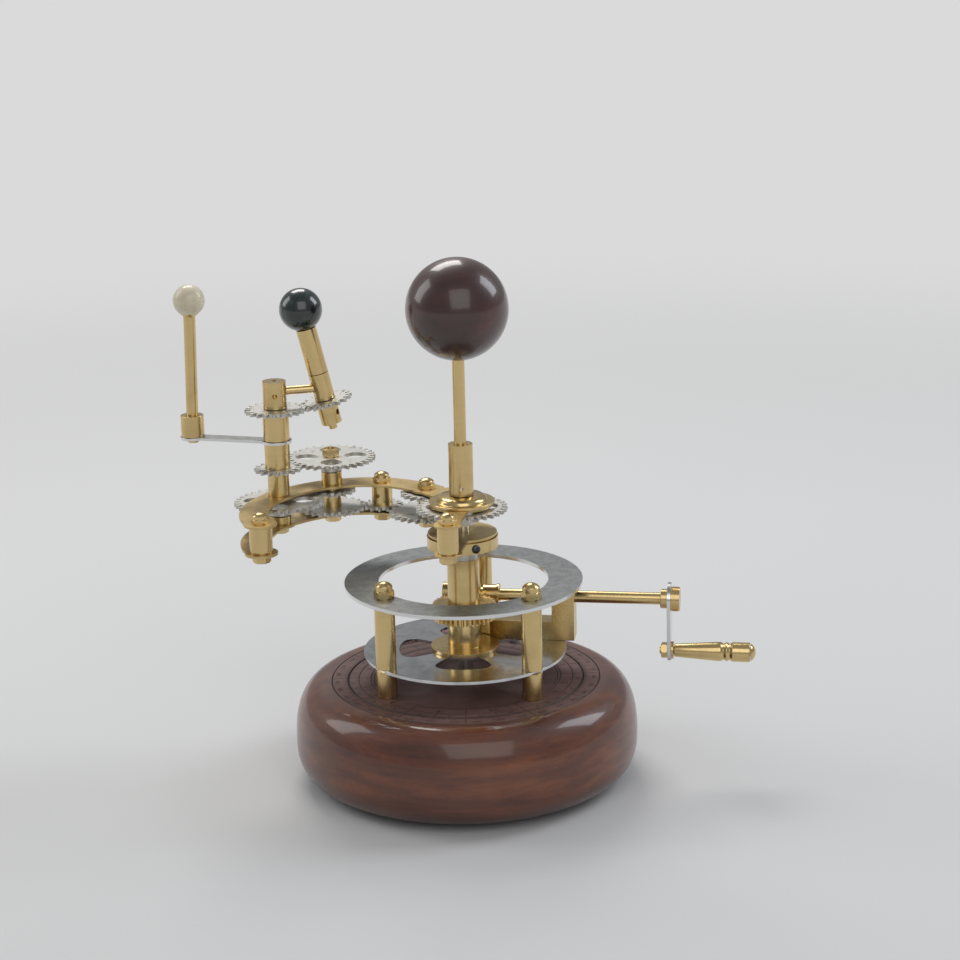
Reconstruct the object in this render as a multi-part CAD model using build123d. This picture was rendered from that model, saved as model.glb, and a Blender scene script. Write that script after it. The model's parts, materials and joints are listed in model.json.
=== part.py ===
"""Hand-cranked tellurion: a turned wooden base, a worm-driven column and a geared arm with Sun, Earth and Moon.

Millimetres, +Z up. The origin is on the column's axis at the floor, and +Y points away from the front.
"""
import os
from math import acos, atan2, cos, degrees, hypot, pi, radians, sin, sqrt, tan

from build123d import *

# Fits and small gaps
RUNNING = 0.06        # radial clearance of a part that turns on a shaft
END_PLAY = 0.3        # axial gap beside a part that turns
BACKLASH = 0.16       # how much thinner a tooth is than half the pitch
ROOT_GAP = 0.25       # tip to root clearance, in modules

# Wooden base
BASE_HEIGHT = 40.9
BASE_R = 68.2
BASE_WIDEST_Z = 18.4
BASE_TOP_R = 53.8
BASE_FOOT_R = 45.6
UPPER_ROUNDNESS = 2.54
LOWER_ROUNDNESS = 2.82
FELT_THICK = 1.0
FELT_INSET = 2.0
RECESS_R = 9.0
RECESS_DEEP = 9.0

# Fixed spindle in the middle
SPINDLE_R = 3.0
SPINDLE_NUT_AF = 10.0
SPINDLE_NUT_H = 5.0
SPINDLE_WASHER_R = 7.5
SPINDLE_WASHER_T = 1.2

# Lower plate, pillars and upper ring
PLATE_R = 40.2
PLATE_THICK = 1.2
SHORT_PILLAR_LONG = 10.8
PETAL_COUNT = 4
PETAL_INNER_R = 11.5
PETAL_OUTER_R = 26.2
PETAL_SPAN = 58.0
PETAL_CORNER_R = 4.5
PETAL_START = -2.0
RING_OUTER_R = 47.0
RING_INNER_R = 33.5
RING_THICK = 1.5
TALL_PILLAR_LONG = 27.2
PILLAR_R = 4.0
PILLAR_RADIUS = 37.5
PILLAR_ANGLES = (-144.8, -46.1, 78.6)
STUD_R = 1.5
STUD_DEEP = 14.0
ACORN_AF = 7.0
ACORN_HEX_H = 3.0
ACORN_H = 6.4

# Bearing on the lower plate and the worm wheel above it
BEARING_FLANGE_R = 13.5
BEARING_FLANGE_T = 1.5
BEARING_HUB_R = 6.75
BEARING_H = 12.2
WHEEL_THICK = 6.2
WHEEL_TEETH = 34
WHEEL_MODULE = 0.7

# Worm, crank shaft and bracket
CRANK_ANGLE = -8.9
CRANK_RISE = 4.8
WORM_PITCH_R = 3.7
WORM_ROOT_R = 2.85
WORM_TIP_R = 4.3
WORM_ROOT_W = 1.0
WORM_TIP_W = 0.5
WORM_TURNS = 4
WORM_HUB_R = 3.95
WORM_HALF = 10.8
WORM_BACK = 8.3
END_COLLAR_R = 4.5
END_COLLAR_LONG = 2.5
CRANK_SHAFT_R = 2.4
WORM_WASHER_R = 4.4
WORM_WASHER_T = 1.2
BRACKET_WIDE = 8.8
BRACKET_BAR_H = 7.7
BRACKET_END = 42.4
UPRIGHT_LONG = 9.0
UPRIGHT_OVER = 5.0
BRACKET_GAP = 0.6
BRACKET_SCREW_R = 1.5
BRACKET_SCREW_HEAD_R = 2.8
BRACKET_SCREW_HEAD_H = 1.6
COLLAR_START = 76.6
COLLAR_LONG = 2.8
COLLAR_R = 3.9
CRANK_ARM_THICK = 1.4
CRANK_ARM_LENGTH = 21.5
CRANK_ARM_BIG_R = 6.6
CRANK_ARM_SMALL_R = 4.1
CRANK_NUT_R = 4.8
CRANK_NUT_LONG = 3.4
PIN_R = 1.5
PIN_NUT_AF = 5.5
PIN_NUT_LONG = 2.6
HANDLE_WASHER_R = 3.5
HANDLE_WASHER_T = 1.0
HANDLE_LONG = 30.0
HANDLE_THIN_R = 2.6
HANDLE_THICK_R = 3.9
HANDLE_TAPER_LONG = 19.5
HANDLE_GROOVE_W = 1.2
HANDLE_GROOVE_DEEP = 0.7
PIN_HEAD_LONG = 1.9

# Turning column
COLUMN_R = 6.35
COLUMN_LONG = 19.0
THRUST_COLLAR_H = 4.6
HUB_DISC_R = 14.0
HUB_DISC_H = 4.5
HUB_STEP_R = 12.6
HUB_STEP_H = 0.4
HUB_SCREW_R = 1.1
HUB_SCREW_HEAD_R = 1.7
HUB_SCREW_HEAD_H = 0.8
HUB_SCREW_DEEP = 3.0
HUB_SCREW_ANGLE = -68.0

# Arm plates
ARM_THICK = 1.0
ARM_SPACING = 10.6
ARM_WIDTH = 11.6
ARM_LOBE_R = 6.4
ARM_LOWER_HUB_R = 13.6
ARM_UPPER_HUB_R = 12.2
LOBE_WEB_W = 9.0
FRONT_LOBE_R = 5.4
END_POST = (-77.0, -22.0)
FRONT_POST = (-5.3, -28.6)
END_SPACER_R = 4.45
FRONT_SPACER_R = 4.1
FLANGE_R = 12.9
FLANGE_T = 1.2
DOME_R = 10.3
DOME_H = 2.0
ARM_STUD_R = 1.5
ARM_NUT_AF = 6.2
ARM_NUT_HEX_H = 1.9
ARM_NUT_H = 4.3
HEX_NUT_H = 3.0

# Gear train on the arm: every gear of it has the same module
MODULE = 1.06
GEAR_THICK = 1.5
CENTRE_TEETH = 32
IDLER1_UPPER_TEETH = 18
IDLER1_LOWER_TEETH = 27
IDLER2_TEETH = 14
IDLER3_LOWER_TEETH = 24
IDLER3_UPPER_TEETH = 16
EARTH_TEETH = 32
MOON_DRIVE_TEETH = 32
MOON_PINION_TEETH = 16
IDLER1_ANGLE = 122.1
IDLER2_ANGLE = 147.4
IDLER3_ANGLE = 183.4
EARTH_ANGLE = 217.5
CENTRE_GEAR_DROP = 0.5
EARTH_GEAR_DROP = 1.2
LOWER_GEAR_LIFT = 0.9
GEAR_OPENINGS = 4
GEAR_SPOKE = 5.6
GEAR_RIM = 2.76
OPENING_POINT = 60.0
DRIVE_OPENING_TURN = 4.0
CENTRE_HUB_R = 5.0
CENTRE_HUB_H = 5.4
GRUB_R = 1.3
GRUB_REACH = 2.4
GRUB_ANGLE = -28.0
IDLER1_SLEEVE_R = 3.4
IDLER2_COLLAR_R = 4.15
SET_SCREW_R = 0.9
IDLER2_HOLE_ANGLE = -115.0
IDLER3_ARBOR_R = 2.0
IDLER3_HUB_R = 3.6
IDLER_BUSH_R = 4.15
IDLER_BUSH_H = 5.2
IDLER_NUT_AF = 5.8
IDLER_NUT_H = 3.2
FOOT_NUT_H = 2.6

# Earth column
EARTH_SHAFT_R = 1.8
EARTH_BUSH_R = 4.25
EARTH_BUSH_H = 9.6
EARTH_FOOT_R = 4.4
EARTH_FOOT_H = 3.2
EARTH_HUB_R = 4.3
MOON_TUBE_R = 5.0
MOON_TUBE_UPPER_R = 5.2
MOON_TUBE_LONG = 10.1
MOON_TUBE_UPPER_LONG = 11.3
MOON_ARM_THICK = 1.1
MOON_ARM_LENGTH = 35.3
MOON_ARM_ANGLE = 164.7
MOON_ARM_EYE_R = 6.0
MOON_ARM_END_R = 5.0
MOON_ARM_WIDTH = 6.0
EARTH_WHEEL_TEETH = 21
CAP_R = 4.65
CAP_H = 10.75
CAP_HOLE_R = 1.0
CAP_HOLE_ANGLE = -85.0
ROD_R = 1.7
ROD_Z_IN_CAP = 6.4

# Moon
SOCKET_R = 4.6
SOCKET_H = 8.6
SOCKET_FLOOR = 2.0
MOON_ROD_R = 2.35
MOON_CUP_R = 4.7
MOON_CUP_H = 2.2
MOON_R = 6.3
MOON_REACH = 52.9
MOON_LEAN = 1.3
MOON_SCREW_R = 2.2
MOON_SCREW_H = 1.4

# Tilted Earth axis
EARTH_TILT = 13.0
EARTH_LEAN_ANGLE = 15.0
TILTED_TEETH = 18
TILTED_THICK = 1.4
SLEEVE_R = 4.0
SLEEVE_LONG = 10.8
STEM_LONG = 18.4
SPIN_SHAFT_R = 1.65
SPIN_COLLAR_R = 4.1
SPIN_COLLAR_LONG = 8.6
SPIN_HOLE_R = 1.1
SPIN_HOLE_ANGLE = 137.0
SHAFT_STUB = 2.4
EARTH_R = 8.5
EARTH_SEAT = 0.7

# Sun
SLEEVE_SUN_R = 4.8
SLEEVE_SUN_H = 20.4
SUN_STEM_R = 2.4
SUN_STEM_LONG = 33.3
SUN_R = 19.9
SUN_SEAT_DEEP = 8.0
SLEEVE_GRIP = 12.0
SLEEVE_HOLE_Z = 3.2

# Places that follow from the sizes above
PLATE_Z = BASE_HEIGHT + SHORT_PILLAR_LONG
PLATE_TOP_Z = PLATE_Z + PLATE_THICK
RING_Z = PLATE_TOP_Z + TALL_PILLAR_LONG
RING_TOP_Z = RING_Z + RING_THICK
WHEEL_Z = PLATE_TOP_Z + BEARING_H + END_PLAY
WHEEL_TOP_Z = WHEEL_Z + WHEEL_THICK
CRANK_Z = WHEEL_Z + CRANK_RISE
HUB_DISC_Z = WHEEL_TOP_Z + COLUMN_LONG + THRUST_COLLAR_H
WHEEL_PITCH_R = WHEEL_TEETH * WHEEL_MODULE / 2
CRANK_OFFSET = WHEEL_PITCH_R + WORM_PITCH_R
ARM_LOWER_Z = HUB_DISC_Z + HUB_DISC_H + HUB_STEP_H
ARM_LOWER_TOP = ARM_LOWER_Z + ARM_THICK
ARM_UPPER_Z = ARM_LOWER_TOP + ARM_SPACING
ARM_TOP_Z = ARM_UPPER_Z + ARM_THICK
CENTRE_GEAR_Z = ARM_UPPER_Z - CENTRE_GEAR_DROP - GEAR_THICK
EARTH_GEAR_Z = ARM_UPPER_Z - EARTH_GEAR_DROP - GEAR_THICK
LOWER_GEAR_Z = ARM_LOWER_TOP + LOWER_GEAR_LIFT
DOME_TOP_Z = ARM_TOP_Z + FLANGE_T + DOME_H
SUN_SLEEVE_Z = DOME_TOP_Z + END_PLAY
SUN_SLEEVE_TOP = SUN_SLEEVE_Z + SLEEVE_SUN_H
SUN_Z = SUN_SLEEVE_TOP + SUN_STEM_LONG + SUN_R
MOON_DRIVE_Z = ARM_TOP_Z + EARTH_BUSH_H + END_PLAY
MOON_DRIVE_TOP = MOON_DRIVE_Z + GEAR_THICK
MOON_ARM_Z = MOON_DRIVE_TOP + MOON_TUBE_LONG
MOON_ARM_TOP = MOON_ARM_Z + MOON_ARM_THICK
EARTH_WHEEL_Z = MOON_ARM_TOP + MOON_TUBE_UPPER_LONG
CAP_Z = EARTH_WHEEL_Z + GEAR_THICK + END_PLAY
ROD_Z = CAP_Z + ROD_Z_IN_CAP

LOW = (Align.CENTER, Align.CENTER, Align.MIN)


def centre_distance(teeth_a, teeth_b, module=MODULE):
    return (teeth_a + teeth_b) * module / 2


def step_from(point, distance, angle):
    return (point[0] + distance * cos(radians(angle)), point[1] + distance * sin(radians(angle)))


# Plan positions of the axles, each in mesh with the one before it
CENTRE = (0.0, 0.0)
IDLER1 = step_from(CENTRE, centre_distance(CENTRE_TEETH, IDLER1_UPPER_TEETH), IDLER1_ANGLE)
IDLER2 = step_from(IDLER1, centre_distance(IDLER1_LOWER_TEETH, IDLER2_TEETH), IDLER2_ANGLE)
IDLER3 = step_from(IDLER2, centre_distance(IDLER2_TEETH, IDLER3_LOWER_TEETH), IDLER3_ANGLE)
EARTH = step_from(IDLER3, centre_distance(IDLER3_UPPER_TEETH, EARTH_TEETH), EARTH_ANGLE)

# Crank frame: it points outwards along the crank shaft from the point nearest the column
OUTWARD = (cos(radians(CRANK_ANGLE)), sin(radians(CRANK_ANGLE)), 0.0)
SIDEWAYS = (-OUTWARD[1], OUTWARD[0], 0.0)
CRANK_FOOT = (CRANK_OFFSET * SIDEWAYS[0], CRANK_OFFSET * SIDEWAYS[1], CRANK_Z)
CRANK_PLANE = Plane(origin=CRANK_FOOT, x_dir=(-SIDEWAYS[0], -SIDEWAYS[1], 0), z_dir=OUTWARD)
PIN_PLANE = CRANK_PLANE.offset(0)
PIN_PLANE.origin = (CRANK_FOOT[0], CRANK_FOOT[1], CRANK_Z - CRANK_ARM_LENGTH)

# Earth axis: it leans back over the Earth column, and its gear meets the Earth wheel at their pitch circles
EARTH_WHEEL_R = EARTH_WHEEL_TEETH * MODULE / 2
TILTED_R = TILTED_TEETH * MODULE / 2
LEAN = (cos(radians(EARTH_LEAN_ANGLE)), sin(radians(EARTH_LEAN_ANGLE)))
TILTED_REACH = EARTH_WHEEL_R + TILTED_R * cos(radians(EARTH_TILT))
TILTED_POINT = (EARTH[0] + TILTED_REACH * LEAN[0], EARTH[1] + TILTED_REACH * LEAN[1],
                EARTH_WHEEL_Z + GEAR_THICK / 2 + TILTED_R * sin(radians(EARTH_TILT)))
TILTED_UP = (-sin(radians(EARTH_TILT)) * LEAN[0], -sin(radians(EARTH_TILT)) * LEAN[1], cos(radians(EARTH_TILT)))
TILTED_TO_COLUMN = (-cos(radians(EARTH_TILT)) * LEAN[0], -cos(radians(EARTH_TILT)) * LEAN[1],
                    -sin(radians(EARTH_TILT)))
TILTED_PLANE = Plane(origin=TILTED_POINT, x_dir=TILTED_TO_COLUMN, z_dir=TILTED_UP)
ROD_REACH = TILTED_REACH - (ROD_Z - TILTED_POINT[2]) * tan(radians(EARTH_TILT))

SLEEVE_START = TILTED_THICK / 2 + END_PLAY
STEM_START = SLEEVE_START + SLEEVE_LONG + END_PLAY
EARTH_AT = STEM_START + STEM_LONG + EARTH_R - EARTH_SEAT


def rod(radius, z0, z1, at=CENTRE):
    return Pos(at[0], at[1], z0) * Cylinder(radius, z1 - z0, align=LOW)


def tube(outer, inner, z0, z1, at=CENTRE):
    return rod(outer, z0, z1, at) - rod(inner, z0 - 1, z1 + 1, at)


def cross_hole(radius, length, angle):
    """A round hole that runs outwards from the axis at this angle."""
    return Rot(0, 0, angle) * Rot(0, 90, 0) * Cylinder(radius, length, align=LOW)


def turned(*points):
    """A solid turned about Z from the radius and height of each corner of its half section."""
    return revolve(make_face(Polyline(*[(r, 0, z) for r, z in points], close=True)), Axis.Z)


def hex_prism(across_flats, height):
    return extrude(RegularPolygon(across_flats / 2, 6, major_radius=False), height)


def hex_nut(across_flats, height, bore):
    """A plain nut with its corners turned off at both faces."""
    corner = across_flats / sqrt(3)
    chamfer = (corner - across_flats / 2) * 0.9
    turning = turned((bore, 0), (corner - chamfer, 0), (corner, chamfer), (corner, height - chamfer),
                     (corner - chamfer, height), (bore, height))
    return hex_prism(across_flats, height) & turning


def dome(radius, z0, z1):
    """A round cap of a ball, with its rim at z0 and its top at z1."""
    rise = z1 - z0
    ball_r = (radius ** 2 + rise ** 2) / (2 * rise)
    spread = atan2(radius, ball_r - rise) / 2
    middle = (ball_r * sin(spread), 0, z1 - ball_r + ball_r * cos(spread))
    section = make_face(Line((0, 0, z0), (radius, 0, z0)) + ThreePointArc((radius, 0, z0), middle, (0, 0, z1))
                        + Line((0, 0, z1), (0, 0, z0)))
    return revolve(section, Axis.Z)


def acorn_nut(across_flats, hex_height, height, bore):
    """A domed nut, bored from below for its stud and closed at the top."""
    dome_r = across_flats / 2 * 0.96
    skirt = rod(dome_r, hex_height / 2, (hex_height + height) / 2)
    body = hex_nut(across_flats, hex_height, 0) + skirt + dome(dome_r, (hex_height + height) / 2, height)
    return body - rod(bore, -1, hex_height)


def involute_half_angle(teeth, module, radius):
    """Half the angle that a tooth spans at this radius, for 20 degree flanks."""
    pitch_r = teeth * module / 2
    base_r = pitch_r * cos(radians(20))
    roll = acos(min(1.0, base_r / max(radius, base_r)))
    pitch_roll = radians(20)
    at_pitch = pi / (2 * teeth) - BACKLASH / 2 / pitch_r
    return at_pitch + (tan(pitch_roll) - pitch_roll) - (tan(roll) - roll)


def gear_outline(teeth, module, turn=0.0, addendum=0.95):
    """The outline of a spur gear with a tooth centred at the angle turn, in degrees."""
    pitch_r = teeth * module / 2
    root_r = pitch_r - module * (1 + ROOT_GAP)
    tip_r = pitch_r + module * addendum
    waist_r = pitch_r + module * 0.3
    points = []
    for tooth in range(teeth):
        middle = radians(turn) + 2 * pi * tooth / teeth
        flank = [(root_r, involute_half_angle(teeth, module, root_r)),
                 (waist_r, involute_half_angle(teeth, module, waist_r)),
                 (tip_r, involute_half_angle(teeth, module, tip_r) * 0.8)]
        for radius, half in flank + [(r, -h) for r, h in reversed(flank)]:
            points.append((radius * cos(middle - half), radius * sin(middle - half)))
    return make_face(Polyline(*points, close=True))


def petal(inner_r, outer_r, span, corner_r, middle):
    """An opening between two radii, rounded at its corners and centred on the angle middle."""
    half = radians(span / 2)
    ends = [(inner_r, -half), (outer_r, -half), (outer_r, half), (inner_r, half)]
    a, b, c, d = [(r * cos(t), r * sin(t)) for r, t in ends]
    edge = Line(a, b) + ThreePointArc(b, (outer_r, 0), c) + Line(c, d) + ThreePointArc(d, (inner_r, 0), a)
    face = make_face(edge)
    return Rot(0, 0, middle) * fillet(face.vertices(), corner_r)


def spur_gear(teeth, bore, z, at=CENTRE, turn=0.0, thick=GEAR_THICK, module=MODULE):
    """A flat gear with a round bore."""
    return Pos(at[0], at[1], z) * extrude(gear_outline(teeth, module, turn) - Circle(bore), thick)


def teardrop(rim_r, count, middle):
    """One of a number of openings between equal spokes: round towards the rim and pointed towards the hub."""
    sine = sin(pi / count)
    end_r = (rim_r * sine - GEAR_SPOKE / 2) / (1 + sine)
    point = radians(OPENING_POINT)
    centre = rim_r - end_r
    touch = (centre - end_r * sin(point), end_r * cos(point))
    tip = make_face(Polyline((centre - end_r / sin(point), 0), touch, (centre, 0), (touch[0], -touch[1]), close=True))
    return Rot(0, 0, middle) * (Pos(centre, 0) * Circle(end_r) + tip)


def open_gear(teeth, bore, z, at, turn, first_opening):
    """A large gear lightened by teardrop openings, the first of them at the angle first_opening."""
    gear = spur_gear(teeth, bore, z, at, turn)
    for index in range(GEAR_OPENINGS):
        opening = teardrop(teeth * MODULE / 2 - GEAR_RIM, GEAR_OPENINGS, first_opening + 360 / GEAR_OPENINGS * index)
        gear -= Pos(at[0], at[1], z - 1) * extrude(opening, GEAR_THICK + 2)
    return gear


def bearing_angle(a, b):
    """The direction in degrees from one axle to another."""
    return degrees(atan2(b[1] - a[1], b[0] - a[0]))


def meshing_turn(teeth, follower_at, driver_at, driver_teeth, driver_turn):
    """The turn of a follower gear whose gap faces the driver's tooth, whatever the driver's turn is."""
    line = bearing_angle(driver_at, follower_at)
    lead = (line - driver_turn) * driver_teeth / teeth
    return line + 180 + 180 / teeth + lead


# Turn of each gear at rest, worked out along the train
CENTRE_TURN = IDLER1_ANGLE
IDLER1_UPPER_TURN = meshing_turn(IDLER1_UPPER_TEETH, IDLER1, CENTRE, CENTRE_TEETH, CENTRE_TURN)
IDLER1_LOWER_TURN = IDLER2_ANGLE
IDLER2_TURN = meshing_turn(IDLER2_TEETH, IDLER2, IDLER1, IDLER1_LOWER_TEETH, IDLER1_LOWER_TURN)
IDLER3_LOWER_TURN = meshing_turn(IDLER3_LOWER_TEETH, IDLER3, IDLER2, IDLER2_TEETH, IDLER2_TURN)
IDLER3_UPPER_TURN = EARTH_ANGLE
EARTH_TURN = meshing_turn(EARTH_TEETH, EARTH, IDLER3, IDLER3_UPPER_TEETH, IDLER3_UPPER_TURN)
MOON_DRIVE_TURN = EARTH_ANGLE
MOON_PINION_TURN = meshing_turn(MOON_PINION_TEETH, EARTH, IDLER3, MOON_DRIVE_TEETH, MOON_DRIVE_TURN)
EARTH_WHEEL_TURN = EARTH_LEAN_ANGLE
TILTED_TURN = 180 / TILTED_TEETH
WHEEL_TURN = 90 + CRANK_ANGLE + 180 / WHEEL_TEETH


def base():
    """The turned base: a squashed ball with a flat top and foot, bored for the spindle and its nut."""
    steps = 6
    upper, lower = [], []
    for index in range(steps + 1):
        t = index / steps * pi / 2
        upper.append((BASE_TOP_R + (BASE_R - BASE_TOP_R) * cos(t) ** (2 / UPPER_ROUNDNESS), 0,
                      BASE_WIDEST_Z + (BASE_HEIGHT - BASE_WIDEST_Z) * sin(t) ** (2 / UPPER_ROUNDNESS)))
        lower.append((BASE_FOOT_R + (BASE_R - BASE_FOOT_R) * cos(t) ** (2 / LOWER_ROUNDNESS), 0,
                      BASE_WIDEST_Z - (BASE_WIDEST_Z - FELT_THICK) * sin(t) ** (2 / LOWER_ROUNDNESS)))
    shoulder = Spline(*upper, tangents=((0, 0, 1), (-1, 0, 0)))
    belly = Spline(*reversed(lower), tangents=((1, 0, 0), (0, 0, 1)))
    bottom = Line((0, 0, FELT_THICK), belly @ 0)
    top = Line(shoulder @ 1, (0, 0, BASE_HEIGHT))
    face = make_face(bottom + belly + shoulder + top + Line((0, 0, BASE_HEIGHT), (0, 0, FELT_THICK)))
    body = revolve(face, Axis.Z)
    body -= rod(SPINDLE_R, 0, BASE_HEIGHT + 1) + rod(RECESS_R, 0, FELT_THICK + RECESS_DEEP)
    for angle in PILLAR_ANGLES:
        at = step_from(CENTRE, PILLAR_RADIUS, angle)
        body -= rod(STUD_R, BASE_HEIGHT - STUD_DEEP, BASE_HEIGHT + 1, at)
    return body


def spindle_fastener():
    washer_z = FELT_THICK + RECESS_DEEP - SPINDLE_WASHER_T
    washer = tube(SPINDLE_WASHER_R, SPINDLE_R, washer_z, washer_z + SPINDLE_WASHER_T)
    nut = Pos(0, 0, washer_z - SPINDLE_NUT_H) * hex_nut(SPINDLE_NUT_AF, SPINDLE_NUT_H, SPINDLE_R)
    return [washer, nut]


def spindle():
    start = FELT_THICK + RECESS_DEEP - SPINDLE_WASHER_T - SPINDLE_NUT_H - 1.0
    return rod(SPINDLE_R, start, SUN_SLEEVE_TOP - SLEEVE_GRIP)


def lower_plate():
    face = Circle(PLATE_R) - Circle(SPINDLE_R)
    for index in range(PETAL_COUNT):
        middle = PETAL_START + 360 / PETAL_COUNT * index
        face -= petal(PETAL_INNER_R, PETAL_OUTER_R, PETAL_SPAN, PETAL_CORNER_R, middle)
    for angle in PILLAR_ANGLES:
        face -= Pos(*step_from(CENTRE, PILLAR_RADIUS, angle)) * Circle(STUD_R)
    for at in bracket_screw_places():
        face -= Pos(*at) * Circle(BRACKET_SCREW_R)
    return Pos(0, 0, PLATE_Z) * extrude(face, PLATE_THICK)


def upper_ring():
    face = Circle(RING_OUTER_R) - Circle(RING_INNER_R)
    for angle in PILLAR_ANGLES:
        face -= Pos(*step_from(CENTRE, PILLAR_RADIUS, angle)) * Circle(STUD_R)
    return Pos(0, 0, RING_Z) * extrude(face, RING_THICK)


def pillars():
    pieces = []
    for angle in PILLAR_ANGLES:
        at = step_from(CENTRE, PILLAR_RADIUS, angle)
        pieces.append(tube(PILLAR_R, STUD_R, BASE_HEIGHT, PLATE_Z, at))
        pieces.append(tube(PILLAR_R, STUD_R, PLATE_TOP_Z, RING_Z, at))
    return pieces


def pillar_studs():
    top = RING_TOP_Z + ACORN_HEX_H - 0.5
    return [rod(STUD_R, BASE_HEIGHT - STUD_DEEP, top, step_from(CENTRE, PILLAR_RADIUS, a)) for a in PILLAR_ANGLES]


def pillar_nuts():
    nut = acorn_nut(ACORN_AF, ACORN_HEX_H, ACORN_H, STUD_R)
    return [Pos(*step_from(CENTRE, PILLAR_RADIUS, a), RING_TOP_Z) * nut for a in PILLAR_ANGLES]


def lower_bearing():
    hub_top = WHEEL_Z - END_PLAY
    flange_top = PLATE_TOP_Z + BEARING_FLANGE_T
    return turned((SPINDLE_R, PLATE_TOP_Z), (BEARING_FLANGE_R, PLATE_TOP_Z), (BEARING_FLANGE_R, flange_top),
                  (BEARING_HUB_R, flange_top), (BEARING_HUB_R, hub_top), (SPINDLE_R, hub_top))


def worm_wheel():
    bore = SPINDLE_R + RUNNING
    return spur_gear(WHEEL_TEETH, bore, WHEEL_Z, turn=WHEEL_TURN, thick=WHEEL_THICK, module=WHEEL_MODULE)


def along_crank(radius, s0, s1, plane=CRANK_PLANE):
    return plane * (Pos(0, 0, s0) * Cylinder(radius, s1 - s0, align=LOW))


def worm():
    """A single right-hand thread between two plain hubs, bored for the crank shaft."""
    lead = pi * WHEEL_MODULE
    long = WORM_TURNS * lead
    helix = Helix(lead, long, WORM_ROOT_R, center=(0, 0, -long / 2))
    start = Plane(origin=helix @ 0, x_dir=(1, 0, 0), z_dir=helix % 0)
    sunk = 0.25
    rise = WORM_TIP_R - WORM_ROOT_R
    profile = start * Polygon((-sunk, -WORM_ROOT_W / 2), (rise, -WORM_TIP_W / 2), (rise, WORM_TIP_W / 2),
                              (-sunk, WORM_ROOT_W / 2), align=None)
    thread = sweep(profile, path=helix, is_frenet=True)
    hub_start = long / 2 + lead / 2
    body = turned((CRANK_SHAFT_R, -WORM_BACK), (WORM_HUB_R, -WORM_BACK), (WORM_HUB_R, -hub_start),
                  (WORM_ROOT_R, -hub_start), (WORM_ROOT_R, hub_start), (WORM_HUB_R, hub_start),
                  (WORM_HUB_R, WORM_HALF), (CRANK_SHAFT_R, WORM_HALF))
    return CRANK_PLANE * (body + thread)


def bracket_line(s, offset):
    """Plan position at a distance along the crank line and a distance from the column's axis."""
    return (OUTWARD[0] * s + SIDEWAYS[0] * offset, OUTWARD[1] * s + SIDEWAYS[1] * offset)


def bracket_screw_places():
    return [bracket_line(s, CRANK_OFFSET) for s in (18.0, 33.0)]


def crank_bracket():
    """A bar on the lower plate with a bored upright, cut round to clear the bearing's flange."""
    near, far = CRANK_OFFSET - BRACKET_WIDE / 2, CRANK_OFFSET + BRACKET_WIDE / 2
    corners = [bracket_line(s, o) for s, o in ((0, near), (BRACKET_END, near), (BRACKET_END, far), (0, far))]
    bar = extrude(Pos(0, 0, PLATE_TOP_Z) * make_face(Polyline(*corners, close=True)), BRACKET_BAR_H)
    begin = BRACKET_END - UPRIGHT_LONG
    corners = [bracket_line(s, o) for s, o in ((begin, near), (BRACKET_END, near), (BRACKET_END, far), (begin, far))]
    height = CRANK_Z + UPRIGHT_OVER - PLATE_TOP_Z
    block = bar + extrude(Pos(0, 0, PLATE_TOP_Z) * make_face(Polyline(*corners, close=True)), height)
    block -= rod(BEARING_FLANGE_R + BRACKET_GAP, PLATE_TOP_Z - 1, CRANK_Z)
    block -= along_crank(CRANK_SHAFT_R + RUNNING, 0, BRACKET_END + 1)
    for at in bracket_screw_places():
        block -= rod(BRACKET_SCREW_R, PLATE_TOP_Z - 1, PLATE_TOP_Z + BRACKET_BAR_H - 2, at)
    return block


def bracket_screws():
    pieces = []
    for at in bracket_screw_places():
        head = rod(BRACKET_SCREW_HEAD_R, PLATE_Z - BRACKET_SCREW_HEAD_H, PLATE_Z, at)
        pieces.append(head + rod(BRACKET_SCREW_R, PLATE_Z - 0.5, PLATE_TOP_Z + BRACKET_BAR_H - 2.2, at))
    return pieces


def crank_collars():
    end_collar = along_crank(END_COLLAR_R, SHAFT_START, -WORM_BACK)
    washer = along_crank(WORM_WASHER_R, WORM_HALF, WORM_HALF + WORM_WASHER_T)
    collar = along_crank(COLLAR_R, COLLAR_START, COLLAR_START + COLLAR_LONG)
    bore = along_crank(CRANK_SHAFT_R, SHAFT_START - 1, COLLAR_START + COLLAR_LONG + 1)
    return [end_collar - bore, washer - bore, collar - bore]


SHAFT_START = -WORM_BACK - END_COLLAR_LONG
CRANK_ARM_AT = COLLAR_START + COLLAR_LONG
CRANK_ARM_END = CRANK_ARM_AT + CRANK_ARM_THICK
HANDLE_AT = CRANK_ARM_END + HANDLE_WASHER_T + END_PLAY
PIN_END = HANDLE_AT + HANDLE_LONG + END_PLAY + PIN_HEAD_LONG


def crank_arm():
    """A flat link with a large end on the crank shaft and a small end on the handle's pin."""
    plane = CRANK_PLANE.offset(CRANK_ARM_AT)
    local_down = plane.to_local_coords(Vector(*CRANK_FOOT) + Vector(0, 0, -CRANK_ARM_LENGTH))
    down = (local_down.X, local_down.Y)
    length = hypot(*down)
    lean = asin_ratio(CRANK_ARM_BIG_R - CRANK_ARM_SMALL_R, length)
    along = degrees(atan2(down[1], down[0]))
    sides = []
    for side in (1, -1):
        turn = along + side * (90 - lean)
        sides.append((step_from(CENTRE, CRANK_ARM_BIG_R, turn), step_from(down, CRANK_ARM_SMALL_R, turn)))
    web = make_face(Polyline(sides[0][0], sides[0][1], sides[1][1], sides[1][0], close=True))
    face = web + Circle(CRANK_ARM_BIG_R) + Pos(*down) * Circle(CRANK_ARM_SMALL_R)
    face -= Circle(CRANK_SHAFT_R) + Pos(*down) * Circle(PIN_R)
    return extrude(plane * face, CRANK_ARM_THICK)


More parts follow.
